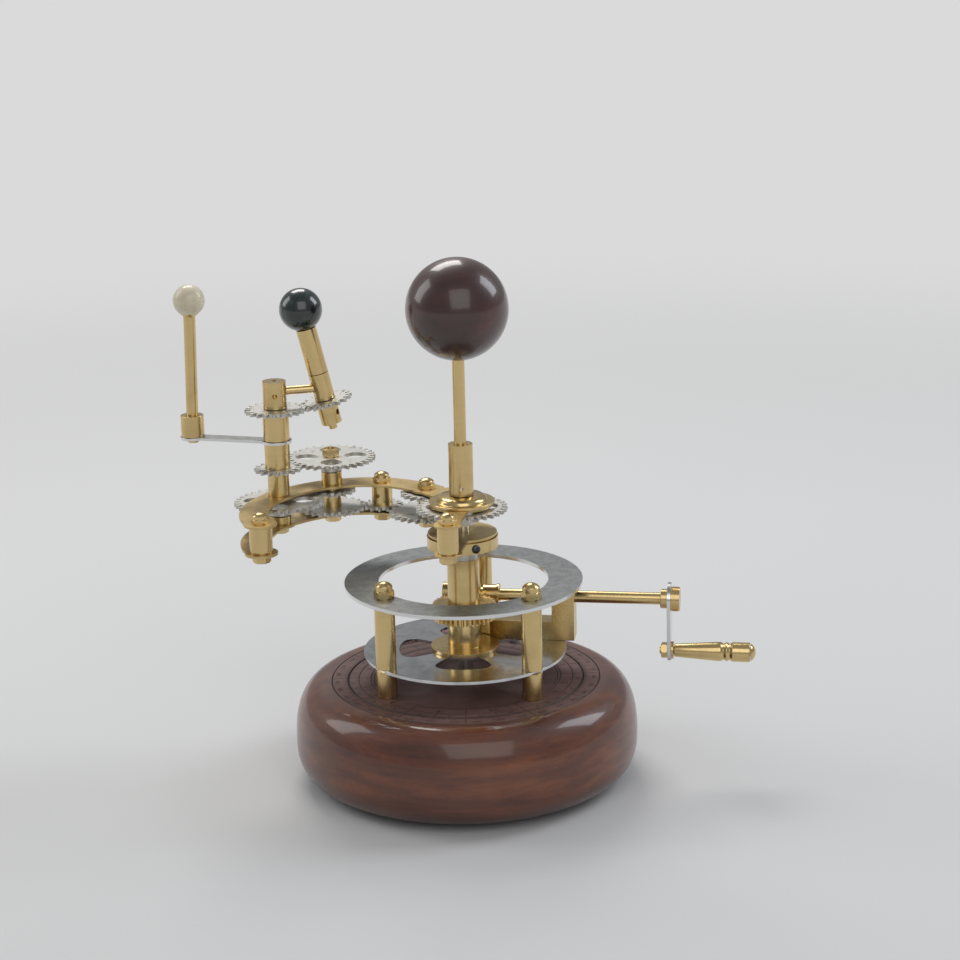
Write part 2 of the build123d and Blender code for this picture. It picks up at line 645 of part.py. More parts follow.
def asin_ratio(rise, run):
    return degrees(atan2(rise, sqrt(run * run - rise * rise)))


def crank_nuts():
    bore = along_crank(CRANK_SHAFT_R, 0, CRANK_ARM_END + CRANK_NUT_LONG - 0.6)
    outer = along_crank(CRANK_NUT_R, CRANK_ARM_END, CRANK_ARM_END + CRANK_NUT_LONG) - bore
    inner = PIN_PLANE * (Pos(0, 0, CRANK_ARM_AT - PIN_NUT_LONG) * hex_nut(PIN_NUT_AF, PIN_NUT_LONG, PIN_R))
    return [outer, inner]


def crank_shaft():
    return along_crank(CRANK_SHAFT_R, SHAFT_START, CRANK_ARM_END + CRANK_NUT_LONG - 0.6)


def handle_pin():
    """The pin that the handle turns on, with a washer at the arm and a domed head at its end."""
    head_z = HANDLE_AT + HANDLE_LONG + END_PLAY
    pin = rod(PIN_R, CRANK_ARM_AT - PIN_NUT_LONG - 0.6, head_z + 0.5)
    washer = rod(HANDLE_WASHER_R, CRANK_ARM_END, CRANK_ARM_END + HANDLE_WASHER_T)
    return PIN_PLANE * (pin + washer + dome(HANDLE_THICK_R - 0.4, head_z, PIN_END))


def crank_handle():
    """A tapered grip with two turned grooves, free on its pin."""
    bore = PIN_R + RUNNING
    groove_r = HANDLE_THICK_R - HANDLE_GROOVE_DEEP
    taper = HANDLE_AT + HANDLE_TAPER_LONG
    w = HANDLE_GROOVE_W
    end = HANDLE_AT + HANDLE_LONG
    grip = turned((bore, HANDLE_AT), (HANDLE_THIN_R, HANDLE_AT), (HANDLE_THICK_R, taper - w), (groove_r, taper),
                  (HANDLE_THICK_R, taper + w), (groove_r, taper + 2 * w), (HANDLE_THICK_R, taper + 3 * w),
                  (HANDLE_THICK_R, end), (bore, end))
    return PIN_PLANE * grip


def column_tube():
    return tube(COLUMN_R, SPINDLE_R + RUNNING, WHEEL_TOP_Z, HUB_DISC_Z - THRUST_COLLAR_H)


def thrust_collar():
    return tube(COLUMN_R + 0.1, SPINDLE_R + RUNNING, HUB_DISC_Z - THRUST_COLLAR_H, HUB_DISC_Z)


def hub_disc():
    bore = SPINDLE_R + RUNNING
    top = HUB_DISC_Z + HUB_DISC_H
    disc = turned((bore, HUB_DISC_Z), (HUB_DISC_R, HUB_DISC_Z), (HUB_DISC_R, top), (HUB_STEP_R, top),
                  (HUB_STEP_R, top + HUB_STEP_H), (bore, top + HUB_STEP_H))
    return disc - hub_screw_place() * rod(HUB_SCREW_R, -HUB_SCREW_DEEP, 1)


def hub_screw_place():
    """The frame of the small screw in the disc's edge, with Z outwards."""
    height = HUB_DISC_Z + HUB_DISC_H / 2
    return Pos(0, 0, height) * Rot(0, 0, HUB_SCREW_ANGLE) * Pos(HUB_DISC_R, 0, 0) * Rot(0, 90, 0)


def hub_disc_screw():
    head = rod(HUB_SCREW_HEAD_R, 0.15, 0.35) + dome(HUB_SCREW_HEAD_R, 0.35, 0.35 + HUB_SCREW_HEAD_H)
    return hub_screw_place() * (rod(HUB_SCREW_R, -HUB_SCREW_DEEP, 0.25) + head)


def arm_outline(hub_r):
    """The curved arm in plan: a band through the axles, round ends and a web to the front lobe."""
    spine = Spline(END_POST, EARTH, IDLER3, IDLER2, IDLER1, CENTRE)
    face = trace(spine, ARM_WIDTH)
    for at in (END_POST, EARTH, IDLER3, IDLER2, IDLER1):
        face += Pos(*at) * Circle(ARM_LOBE_R)
    web_long = hypot(*FRONT_POST)
    web = Rot(0, 0, bearing_angle(CENTRE, FRONT_POST)) * Pos(web_long / 2, 0) * Rectangle(web_long, LOBE_WEB_W)
    return face + Circle(hub_r) + web + Pos(*FRONT_POST) * Circle(FRONT_LOBE_R)


def arm_plate(z, hub_r, holes):
    face = arm_outline(hub_r)
    for at, radius in holes:
        face -= Pos(*at) * Circle(radius)
    return Pos(0, 0, z) * extrude(face, ARM_THICK)


STUD_HOLES = [(at, ARM_STUD_R) for at in (END_POST, FRONT_POST, IDLER1, IDLER2)]


def arm_lower_plate():
    holes = [(CENTRE, SPINDLE_R + RUNNING), (IDLER3, IDLER3_ARBOR_R + RUNNING), (EARTH, EARTH_SHAFT_R + RUNNING)]
    return arm_plate(ARM_LOWER_Z, ARM_LOWER_HUB_R, holes + STUD_HOLES)


def arm_upper_plate():
    holes = [(CENTRE, SPINDLE_R + RUNNING), (IDLER3, IDLER3_ARBOR_R + RUNNING), (EARTH, EARTH_SHAFT_R + RUNNING)]
    return arm_plate(ARM_UPPER_Z, ARM_UPPER_HUB_R, holes + STUD_HOLES)


def arm_flange():
    """The flanged boss on the upper plate, with a rounded step."""
    bore = SPINDLE_R + RUNNING
    step = ARM_TOP_Z + FLANGE_T
    body = turned((bore, ARM_TOP_Z), (FLANGE_R, ARM_TOP_Z), (FLANGE_R, step), (DOME_R, step),
                  (DOME_R - 0.5, step + DOME_H * 0.6), (DOME_R - 1.8, DOME_TOP_Z), (bore, DOME_TOP_Z))
    return body


def arm_spacers():
    return [tube(END_SPACER_R, ARM_STUD_R, ARM_LOWER_TOP, ARM_UPPER_Z, END_POST),
            tube(FRONT_SPACER_R, ARM_STUD_R, ARM_LOWER_TOP, ARM_UPPER_Z, FRONT_POST)]


def arm_studs():
    low = ARM_LOWER_Z - HEX_NUT_H - 0.4
    high = ARM_TOP_Z + ARM_NUT_HEX_H - 0.3
    return [rod(ARM_STUD_R, low, high, at) for at, _ in STUD_HOLES]


def arm_dome_nuts():
    nut = acorn_nut(ARM_NUT_AF, ARM_NUT_HEX_H, ARM_NUT_H, ARM_STUD_R)
    return [Pos(at[0], at[1], ARM_TOP_Z) * nut for at, _ in STUD_HOLES]


def arm_hex_nuts():
    nut = hex_nut(ARM_NUT_AF, HEX_NUT_H, ARM_STUD_R)
    return [Pos(at[0], at[1], ARM_LOWER_Z - HEX_NUT_H) * nut for at, _ in STUD_HOLES]


def arm_bushes():
    """Plain bearings: one for the third idler, one under the Earth column and one at its foot."""
    idler = tube(IDLER_BUSH_R, IDLER3_ARBOR_R + RUNNING, ARM_TOP_Z, ARM_TOP_Z + IDLER_BUSH_H, IDLER3)
    column = tube(EARTH_BUSH_R, EARTH_SHAFT_R + RUNNING, ARM_TOP_Z, MOON_DRIVE_Z - END_PLAY, EARTH)
    foot = tube(EARTH_FOOT_R, EARTH_SHAFT_R + RUNNING, ARM_LOWER_TOP, ARM_LOWER_TOP + EARTH_FOOT_H, EARTH)
    return [idler, column, foot]


def centre_gear():
    """The fixed gear that the arm's train walks round, with its hub below."""
    gear = open_gear(CENTRE_TEETH, SPINDLE_R, CENTRE_GEAR_Z, CENTRE, CENTRE_TURN, 0)
    hub = tube(CENTRE_HUB_R, SPINDLE_R, CENTRE_GEAR_Z - CENTRE_HUB_H, CENTRE_GEAR_Z)
    return gear + hub - grub_screw(0)


def grub_screw(extra):
    length = CENTRE_HUB_R - SPINDLE_R + extra
    screw = Rot(0, 90, 0) * Cylinder(GRUB_R, length, align=LOW)
    return Pos(0, 0, CENTRE_GEAR_Z - CENTRE_HUB_H / 2) * Rot(0, 0, GRUB_ANGLE) * Pos(SPINDLE_R, 0, 0) * screw


def centre_gear_screw():
    return grub_screw(GRUB_REACH)


def first_idler_gears():
    return [spur_gear(IDLER1_UPPER_TEETH, IDLER1_SLEEVE_R, CENTRE_GEAR_Z, IDLER1, IDLER1_UPPER_TURN),
            spur_gear(IDLER1_LOWER_TEETH, IDLER1_SLEEVE_R, LOWER_GEAR_Z, IDLER1, IDLER1_LOWER_TURN)]


def first_idler_sleeve():
    return tube(IDLER1_SLEEVE_R, ARM_STUD_R + RUNNING, ARM_LOWER_TOP + END_PLAY, ARM_UPPER_Z - END_PLAY, IDLER1)


def second_idler_gear():
    return spur_gear(IDLER2_TEETH, ARM_STUD_R + RUNNING, LOWER_GEAR_Z, IDLER2, IDLER2_TURN)


def second_idler_collar():
    body = tube(IDLER2_COLLAR_R, ARM_STUD_R + RUNNING, LOWER_GEAR_Z + GEAR_THICK, ARM_UPPER_Z - END_PLAY, IDLER2)
    foot = tube(IDLER2_COLLAR_R - 1, ARM_STUD_R + RUNNING, ARM_LOWER_TOP + END_PLAY, LOWER_GEAR_Z, IDLER2)
    middle = (LOWER_GEAR_Z + GEAR_THICK + ARM_UPPER_Z) / 2
    hole = Pos(IDLER2[0], IDLER2[1], middle) * cross_hole(SET_SCREW_R, IDLER2_COLLAR_R + 1, IDLER2_HOLE_ANGLE)
    return [body - hole, foot]


def third_idler_arbor():
    """The turning shaft that carries three gears, with a hub between the plates."""
    hub_low, hub_high = ARM_LOWER_TOP + END_PLAY, ARM_UPPER_Z - END_PLAY
    core = rod(IDLER3_ARBOR_R, ARM_LOWER_Z - END_PLAY - FOOT_NUT_H, MOON_DRIVE_TOP + IDLER_NUT_H - 0.5, IDLER3)
    return core + rod(IDLER3_HUB_R, hub_low, hub_high, IDLER3)


def third_idler_gears():
    return [spur_gear(IDLER3_UPPER_TEETH, IDLER3_HUB_R, EARTH_GEAR_Z, IDLER3, IDLER3_UPPER_TURN),
            spur_gear(IDLER3_LOWER_TEETH, IDLER3_HUB_R, LOWER_GEAR_Z, IDLER3, IDLER3_LOWER_TURN)]


def moon_drive_gear():
    gear = open_gear(MOON_DRIVE_TEETH, IDLER3_ARBOR_R, MOON_DRIVE_Z, IDLER3, MOON_DRIVE_TURN, DRIVE_OPENING_TURN)
    boss_low = ARM_TOP_Z + IDLER_BUSH_H + END_PLAY
    return gear + tube(IDLER_BUSH_R, IDLER3_ARBOR_R, boss_low, MOON_DRIVE_Z, IDLER3)


def third_idler_nuts():
    top = Pos(IDLER3[0], IDLER3[1], MOON_DRIVE_TOP) * hex_nut(IDLER_NUT_AF, IDLER_NUT_H, IDLER3_ARBOR_R)
    foot_z = ARM_LOWER_Z - END_PLAY - FOOT_NUT_H
    foot = Pos(IDLER3[0], IDLER3[1], foot_z) * hex_nut(IDLER_NUT_AF, FOOT_NUT_H, IDLER3_ARBOR_R)
    return [top, foot]


def earth_shaft():
    """The inner shaft of the Earth column, with a collar under the lower plate."""
    collar_top = ARM_LOWER_Z - END_PLAY
    core = rod(EARTH_SHAFT_R, collar_top - FOOT_NUT_H, CAP_Z + CAP_H - 2.0, EARTH)
    return core + Pos(EARTH[0], EARTH[1], collar_top - FOOT_NUT_H) * hex_nut(IDLER_NUT_AF, FOOT_NUT_H, 1.0)


def earth_gear():
    gear = open_gear(EARTH_TEETH, EARTH_SHAFT_R, EARTH_GEAR_Z, EARTH, EARTH_TURN, 0)
    hub_low = ARM_LOWER_TOP + EARTH_FOOT_H + END_PLAY
    return gear + tube(EARTH_HUB_R, EARTH_SHAFT_R, hub_low, EARTH_GEAR_Z, EARTH)


def earth_rod_solid():
    start = Pos(EARTH[0], EARTH[1], ROD_Z) * Rot(0, 0, EARTH_LEAN_ANGLE) * Rot(0, 90, 0)
    return start * Pos(0, 0, EARTH_SHAFT_R) * Cylinder(ROD_R, ROD_REACH - EARTH_SHAFT_R - SPIN_SHAFT_R - 1, align=LOW)


def earth_cap():
    """The cap pinned on the inner shaft, cross-drilled for the rod and for its set screw."""
    body = rod(CAP_R, CAP_Z, CAP_Z + CAP_H, EARTH) - rod(EARTH_SHAFT_R, CAP_Z - 1, CAP_Z + CAP_H - 2.0, EARTH)
    hole = Pos(EARTH[0], EARTH[1], CAP_Z + CAP_H * 0.5) * cross_hole(CAP_HOLE_R, CAP_R + 1, CAP_HOLE_ANGLE)
    return body - hole - earth_rod_solid() - rod(EARTH_SHAFT_R / 2, CAP_Z, CAP_Z + CAP_H + 1, EARTH)


def along_tilt(shape):
    return TILTED_PLANE * shape


def earth_sleeve():
    """The tilted bearing at the end of the rod."""
    body = along_tilt(tube(SLEEVE_R, SPIN_SHAFT_R + RUNNING, SLEEVE_START, SLEEVE_START + SLEEVE_LONG))
    return body - earth_rod_solid()


def earth_stem_pieces():
    """The upper stem under the Earth and the collar under its gear."""
    stem = tube(SLEEVE_R, SPIN_SHAFT_R, STEM_START, STEM_START + STEM_LONG)
    low = -TILTED_THICK / 2 - SPIN_COLLAR_LONG
    collar = tube(SPIN_COLLAR_R, SPIN_SHAFT_R, low, -TILTED_THICK / 2)
    collar -= Pos(0, 0, low + SPIN_COLLAR_LONG / 2) * cross_hole(SPIN_HOLE_R, SPIN_COLLAR_R + 1, SPIN_HOLE_ANGLE)
    return [along_tilt(stem), along_tilt(collar)]


def spin_shaft():
    low = -TILTED_THICK / 2 - SPIN_COLLAR_LONG - SHAFT_STUB
    return along_tilt(rod(SPIN_SHAFT_R, low, EARTH_AT))


def tilted_gear():
    return along_tilt(spur_gear(TILTED_TEETH, SPIN_SHAFT_R, -TILTED_THICK / 2, turn=TILTED_TURN, thick=TILTED_THICK))


def earth_ball():
    seat_z = STEM_START + STEM_LONG
    body = Pos(0, 0, EARTH_AT) * Sphere(EARTH_R)
    body -= rod(SPIN_SHAFT_R, seat_z - 1, EARTH_AT) + rod(SLEEVE_R, seat_z - 2, seat_z)
    return along_tilt(body)


MOON_PLACE = step_from(EARTH, MOON_ARM_LENGTH, MOON_ARM_ANGLE)
SOCKET_TOP = MOON_ARM_TOP + SOCKET_H


def moon_pinion():
    return spur_gear(MOON_PINION_TEETH, EARTH_SHAFT_R + RUNNING, MOON_DRIVE_Z, EARTH, MOON_PINION_TURN)


def moon_tubes():
    bore = EARTH_SHAFT_R + RUNNING
    return [tube(MOON_TUBE_R, bore, MOON_DRIVE_TOP, MOON_ARM_Z, EARTH),
            tube(MOON_TUBE_UPPER_R, bore, MOON_ARM_TOP, EARTH_WHEEL_Z, EARTH)]


def moon_arm():
    """A thin strip with a large eye on the Earth column and a rounded end under the Moon's socket."""
    strip = Pos(MOON_ARM_LENGTH / 2, 0) * Rectangle(MOON_ARM_LENGTH, MOON_ARM_WIDTH)
    face = strip + Circle(MOON_ARM_EYE_R) + Pos(MOON_ARM_LENGTH, 0) * Circle(MOON_ARM_END_R)
    face -= Circle(EARTH_SHAFT_R + RUNNING) + Pos(MOON_ARM_LENGTH, 0) * Circle(MOON_ROD_R / 2)
    return Pos(EARTH[0], EARTH[1], MOON_ARM_Z) * Rot(0, 0, MOON_ARM_ANGLE) * extrude(face, MOON_ARM_THICK)


def earth_wheel():
    return spur_gear(EARTH_WHEEL_TEETH, EARTH_SHAFT_R + RUNNING, EARTH_WHEEL_Z, EARTH, EARTH_WHEEL_TURN)


def moon_rod_place():
    """The foot of the Moon's rod, with Z along the slightly leaning rod."""
    return Pos(*MOON_PLACE, MOON_ARM_TOP + SOCKET_FLOOR) * Rot(0, MOON_LEAN, 0)


def moon_post():
    """The socket with its screw, and the rod with the flared cup that holds the Moon."""
    socket = rod(SOCKET_R, MOON_ARM_TOP, SOCKET_TOP, MOON_PLACE) - moon_rod_place() * rod(MOON_ROD_R, 0, SOCKET_H)
    screw = rod(MOON_SCREW_R, MOON_ARM_Z - MOON_SCREW_H, MOON_ARM_Z, MOON_PLACE)
    socket += screw + rod(MOON_ROD_R / 2, MOON_ARM_Z - 0.5, MOON_ARM_TOP + 0.5, MOON_PLACE)
    cup_top = MOON_REACH - sqrt(MOON_R ** 2 - MOON_CUP_R ** 2)
    cup_low = cup_top - MOON_CUP_H
    post = turned((0, 0), (MOON_ROD_R, 0), (MOON_ROD_R, cup_low), (MOON_CUP_R, cup_top), (0, cup_top))
    post -= Pos(0, 0, MOON_REACH) * Sphere(MOON_R)
    return [socket, moon_rod_place() * post]


def moon_ball():
    return moon_rod_place() * Pos(0, 0, MOON_REACH) * Sphere(MOON_R)


def sun_sleeve():
    body = rod(SLEEVE_SUN_R, SUN_SLEEVE_Z, SUN_SLEEVE_TOP)
    body -= rod(SPINDLE_R, SUN_SLEEVE_Z - 1, SUN_SLEEVE_TOP - SLEEVE_GRIP)
    body -= Pos(0, 0, SUN_SLEEVE_Z + SLEEVE_HOLE_Z) * cross_hole(SET_SCREW_R, SLEEVE_SUN_R + 1, -90)
    return body - rod(SUN_STEM_R, SUN_SLEEVE_TOP - SLEEVE_GRIP - 0.1, SUN_SLEEVE_TOP + 1)


def sun_stem():
    return rod(SUN_STEM_R, SUN_SLEEVE_TOP - SLEEVE_GRIP, SUN_Z - SUN_R + SUN_SEAT_DEEP)


def sun_ball():
    return Pos(0, 0, SUN_Z) * Sphere(SUN_R) - rod(SUN_STEM_R, SUN_Z - SUN_R - 2, SUN_Z - SUN_R + SUN_SEAT_DEEP)


PARTS = {
    "base": base,
    "base_felt": lambda: rod(BASE_FOOT_R - FELT_INSET, 0, FELT_THICK),
    "spindle": spindle,
    "spindle_fastener": spindle_fastener,
    "lower_plate": lower_plate,
    "pillars": pillars,
    "pillar_studs": pillar_studs,
    "upper_ring": upper_ring,
    "pillar_nuts": pillar_nuts,
    "lower_bearing": lower_bearing,
    "crank_bracket": crank_bracket,
    "bracket_screws": bracket_screws,
    "centre_gear": centre_gear,
    "centre_gear_screw": centre_gear_screw,
    "sun_sleeve": sun_sleeve,
    "sun_stem": sun_stem,
    "sun_ball": sun_ball,
    "crank_shaft": crank_shaft,
    "worm": worm,
    "crank_collars": crank_collars,
    "crank_arm": crank_arm,
    "crank_nuts": crank_nuts,
    "handle_pin": handle_pin,
    "crank_handle": crank_handle,
    "column_tube": column_tube,
    "thrust_collar": thrust_collar,
    "worm_wheel": worm_wheel,
    "hub_disc": hub_disc,
    "hub_disc_screw": hub_disc_screw,
    "arm_lower_plate": arm_lower_plate,
    "arm_upper_plate": arm_upper_plate,
    "arm_flange": arm_flange,
    "arm_spacers": arm_spacers,
    "arm_studs": arm_studs,
    "arm_dome_nuts": arm_dome_nuts,
    "arm_hex_nuts": arm_hex_nuts,
    "arm_bushes": arm_bushes,
    "first_idler_gears": first_idler_gears,
    "first_idler_sleeve": first_idler_sleeve,
    "second_idler_gear": second_idler_gear,
    "second_idler_collar": second_idler_collar,
    "third_idler_arbor": third_idler_arbor,
    "third_idler_gears": third_idler_gears,
    "third_idler_nuts": third_idler_nuts,
    "moon_drive_gear": moon_drive_gear,
    "earth_shaft": earth_shaft,
    "earth_gear": earth_gear,
    "earth_cap": earth_cap,
    "earth_rod": earth_rod_solid,
    "earth_sleeve": earth_sleeve,
    "moon_pinion": moon_pinion,
    "moon_tubes": moon_tubes,
    "moon_arm": moon_arm,
    "earth_wheel": earth_wheel,
    "moon_post": moon_post,
    "moon_ball": moon_ball,
    "spin_shaft": spin_shaft,
    "earth_stem": earth_stem_pieces,
    "tilted_gear": tilted_gear,
    "earth_ball": earth_ball,
}


def solids_of(result):
    """Every solid of a piece, whether it was made as one shape or as a list."""
    shapes = result if isinstance(result, list) else [result]
    return [solid for shape in shapes for solid in shape.solids()]


os.makedirs("parts", exist_ok=True)
for node, make in PARTS.items():
    export_step(Compound(children=solids_of(make())), f"parts/{node}.step")
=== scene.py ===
import json
from math import cos, hypot, pi, radians, sin

import bmesh
import bpy
from mathutils import Matrix, Vector

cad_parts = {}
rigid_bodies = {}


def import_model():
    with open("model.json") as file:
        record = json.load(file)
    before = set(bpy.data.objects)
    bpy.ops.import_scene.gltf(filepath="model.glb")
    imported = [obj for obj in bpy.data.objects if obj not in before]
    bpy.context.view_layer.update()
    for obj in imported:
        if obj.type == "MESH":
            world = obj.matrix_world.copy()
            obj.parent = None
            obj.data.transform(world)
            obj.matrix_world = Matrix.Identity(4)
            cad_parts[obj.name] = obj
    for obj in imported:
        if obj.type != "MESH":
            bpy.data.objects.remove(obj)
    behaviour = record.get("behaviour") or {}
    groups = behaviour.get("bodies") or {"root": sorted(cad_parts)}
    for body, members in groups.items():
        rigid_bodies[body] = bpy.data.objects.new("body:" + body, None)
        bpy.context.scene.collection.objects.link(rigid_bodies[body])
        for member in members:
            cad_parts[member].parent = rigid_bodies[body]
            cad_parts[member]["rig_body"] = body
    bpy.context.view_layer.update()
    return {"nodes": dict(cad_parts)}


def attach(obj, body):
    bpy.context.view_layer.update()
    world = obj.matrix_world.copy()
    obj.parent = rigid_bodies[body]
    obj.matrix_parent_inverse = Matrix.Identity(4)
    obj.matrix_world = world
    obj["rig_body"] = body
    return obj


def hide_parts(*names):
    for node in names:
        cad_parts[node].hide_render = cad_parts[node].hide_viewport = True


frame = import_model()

MM = 0.001

# The camera, in millimetres and degrees
LENS_MM = 90
SENSOR_MM = 36
CAMERA_ELEVATION = 15.433
CAMERA_ROLL = -1.285
CAMERA_TARGET = Vector((7.38, 0, 121.7))
CAMERA_DISTANCE = 936.0

# Sizes shared with the solids, in millimetres
DIAL_Z = 40.9
DIAL_R = 53.8
BASE_R = 68.2
BASE_WIDEST_Z = 18.4
BASE_FOOT_R = 45.6
UPPER_ROUNDNESS = 2.54
LOWER_ROUNDNESS = 2.82
FELT_THICK = 1.0
CRANK_ANGLE = radians(-8.9)
CRANK_OFFSET = 15.6
CRANK_Z = 70.2
CRANK_DIRECTION = (cos(CRANK_ANGLE), sin(CRANK_ANGLE), 0)
CRANK_FOOT = Vector((CRANK_OFFSET * sin(-CRANK_ANGLE), CRANK_OFFSET * cos(CRANK_ANGLE), CRANK_Z))
CRANK_NUT_R = 4.8
CRANK_NUT_START = 80.8
CRANK_NUT_LONG = 3.4

# The engraved dial, in millimetres: middle and width of each turned groove,
# count, inner and outer radius and width of each ring of lines,
# and count, radius, height and step of each ring of numbers
DIAL_GROOVES = ((53.3, 0.5), (46.8, 0.9), (42.6, 0.35), (37.8, 0.35), (36.6, 0.35))
LINE_RINGS = ((360, 47.4, 48.3, 0.13), (72, 47.4, 49.2, 0.18), (12, 47.4, 53.0, 0.28),
              (120, 42.8, 43.8, 0.15), (24, 42.8, 46.2, 0.25), (12, 37.9, 42.5, 0.3))
NUMBER_RINGS = ((36, 51.0, 2.5, 10), (24, 45.0, 2.0, 1), (12, 40.2, 3.4, 1))
MARK_HIGH = 0.04

# The ribs of the crank's end nut, in millimetres
RIB_COUNT = 56
RIB_DEEP = 0.4
RIB_WIDE = 0.26
RIB_SUNK = 0.1
RIB_INSET = 0.5

# The floor
FLOOR_HALF_M = 30.0
NEAR_FLOOR = ((0.70, 0.70, 0.70), (0.73, 0.73, 0.73))
FAR_FLOOR = (0.70, 0.70, 0.70)

# Fineness of the made shapes
LATHE_SECTORS = 192
LATHE_STEPS = 44
EASED_SEGMENTS = 2
EASED_ABOVE = radians(38)


class Wire:
    """One value on its way between shader nodes, with its arithmetic written as plain signs."""

    def __init__(self, finish, socket):
        self.finish = finish
        self.socket = socket

    def math(self, operation, *values):
        return self.finish.node("Math", {"operation": operation}, dict(enumerate(values)))

    def __add__(self, other):
        return self.math("ADD", self, other)

    __radd__ = __add__

    def __sub__(self, other):
        return self.math("SUBTRACT", self, other)

    def __rsub__(self, other):
        return self.math("SUBTRACT", other, self)

    def __mul__(self, other):
        return self.math("MULTIPLY", self, other)

    __rmul__ = __mul__

    def __pow__(self, other):
        return self.math("POWER", self, other)

    def __abs__(self):
        return self.math("ABSOLUTE", self)

    def hypot(self, other):
        return (self * self + other * other) ** 0.5

    def at_most(self, limit):
        return self.math("MINIMUM", self, limit)

    def between(self, low, high):
        """0 below low, 1 above high and a smooth step from one to the other."""
        settings = {"interpolation_type": "SMOOTHSTEP"}
        sockets = {"Value": self, "From Min": low, "From Max": high}
        return self.finish.node("MapRange", settings, sockets)


class Finish:
    """A material built node by node."""

    def __init__(self, name, metallic=0.0, coat=0.0, coat_roughness=0.05, sheen=0.0):
        self.material = bpy.data.materials.new(name)
        self.material.use_nodes = True
        self.tree = self.material.node_tree
        self.shader = self.tree.nodes["Principled BSDF"]
        self.shader.inputs["Metallic"].default_value = metallic
        self.shader.inputs["Coat Weight"].default_value = coat
        self.shader.inputs["Coat Roughness"].default_value = coat_roughness
        self.shader.inputs["Sheen Weight"].default_value = sheen

    def node(self, kind, settings=None, sockets=None, output=0):
        """Adds a node, sets it up, joins its sockets and gives one output as a wire."""
        made = self.tree.nodes.new("ShaderNode" + kind)
        for name, value in (settings or {}).items():
            if name == "stops":
                for extra in range(len(value) - 2):
                    made.color_ramp.elements.new(0.5)
                for element, (place, colour) in zip(made.color_ramp.elements, value):
                    element.position = place
                    element.color = (*colour, 1)
            else:
                setattr(made, name, value)
        for key, value in (sockets or {}).items():
            if isinstance(value, Wire):
                self.tree.links.new(value.socket, made.inputs[key])
            else:
                made.inputs[key].default_value = value
        return Wire(self, made.outputs[output])

    def place(self, scale=(1, 1, 1), turn=(0, 0, 0)):
        """The place on the piece, in metres, stretched and turned."""
        at = self.node("TexCoord", output=3)
        return self.node("Mapping", sockets={"Vector": at, "Rotation": turn, "Scale": scale})

    def upright(self):
        """1 on a plate's cut edges and 0 on its flat faces."""
        return 1 - abs(self.split(self.node("NewGeometry", output=1))[2]).between(0.35, 0.75)

    def split(self, vector):
        made = self.node("SeparateXYZ", sockets={0: vector})
        return [Wire(self, out) for out in made.socket.node.outputs]

    def noise(self, at, scale, detail=4.0, roughness=0.55, distortion=0.0):
        sockets = {"Vector": at, "Scale": scale, "Detail": detail, "Roughness": roughness,
                   "Distortion": distortion}
        return self.node("TexNoise", sockets=sockets)

    def ramp(self, value, *stops):
        return self.node("ValToRGB", {"stops": stops}, {"Fac": value})

    def mix(self, mask, a, b):
        """Colour a where the mask is 0 and b where it is 1."""
        first, second = (c if isinstance(c, Wire) else (*c, 1) for c in (a, b))
        return self.node("Mix", {"data_type": "RGBA"}, {0: mask, 6: first, 7: second}, output=2)

    def bump(self, height, strength, distance, under=None):
        sockets = {"Height": height, "Strength": strength, "Distance": distance}
        if under:
            sockets["Normal"] = under
        return self.node("Bump", sockets=sockets)

    def wear(self, **inputs):
        """Joins what varies over the surface to the shader."""
        for name, value in inputs.items():
            socket = self.shader.inputs[name.replace("_", " ")]
            if isinstance(value, Wire):
                self.tree.links.new(value.socket, socket)
            else:
                socket.default_value = (*value, 1) if isinstance(value, tuple) else value
        return self.material


def turned_brass(name, along=(0, 0, 1), rough=0.15):
    """Lathe-turned brass with fine rings across its axis, and a thin uneven tarnish."""
    f = Finish(name, metallic=1.0)
    at = f.place()
    run = f.node("VectorMath", {"operation": "DOT_PRODUCT"}, {0: at, 1: along}, output=1)
    rings = f.node("TexNoise", {"noise_dimensions": "1D"}, {"W": run, "Scale": 4200.0, "Detail": 3.0})
    bands = f.node("TexNoise", {"noise_dimensions": "1D"}, {"W": run, "Scale": 620.0, "Detail": 2.0})
    tarnish = f.noise(at, 70.0, 4.0, 0.55, 0.3)
    specks = f.noise(at, 1900.0, 2.0, 0.5)
    worn = tarnish.between(0.44, 0.80)
    spotted = specks.between(0.66, 0.74)
    colour = f.mix(worn * 0.35 + spotted * 0.3 + bands * 0.14, (0.72, 0.545, 0.26), (0.43, 0.29, 0.115))
    smooth = rough + tarnish * 0.1 + rings * 0.06 + spotted * 0.12
    return f.wear(Base_Color=colour, Roughness=smooth, Normal=f.bump(rings, 0.10, 0.00004))


def sheet_brass(name):
    """Rolled sheet brass: fine scratches along the arm, thin brown tarnish and brighter cut edges."""
    f = Finish(name, metallic=1.0)
    at = f.place()
    tarnish = f.noise(at, 75.0, 6.0, 0.7, 0.5)
    grain = f.noise(f.place(scale=(1, 18, 18), turn=(0, 0, 0.4)), 300.0, 4.0, 0.6)
    pits = f.noise(at, 2600.0, 2.0)
    edge = f.upright()
    brown = (tarnish.between(0.35, 0.75) * 0.8 + pits.between(0.55, 0.72) * 0.25) * (1 - edge * 0.7)
    colour = f.mix(brown, (0.66, 0.50, 0.24), (0.34, 0.235, 0.10))
    smooth = 0.27 + tarnish * 0.14 + grain * 0.12 + pits.between(0.6, 0.75) * 0.12
    return f.wear(Base_Color=colour, Roughness=smooth, Normal=f.bump(grain * 0.7 + pits * 0.3, 0.1, 0.00006))


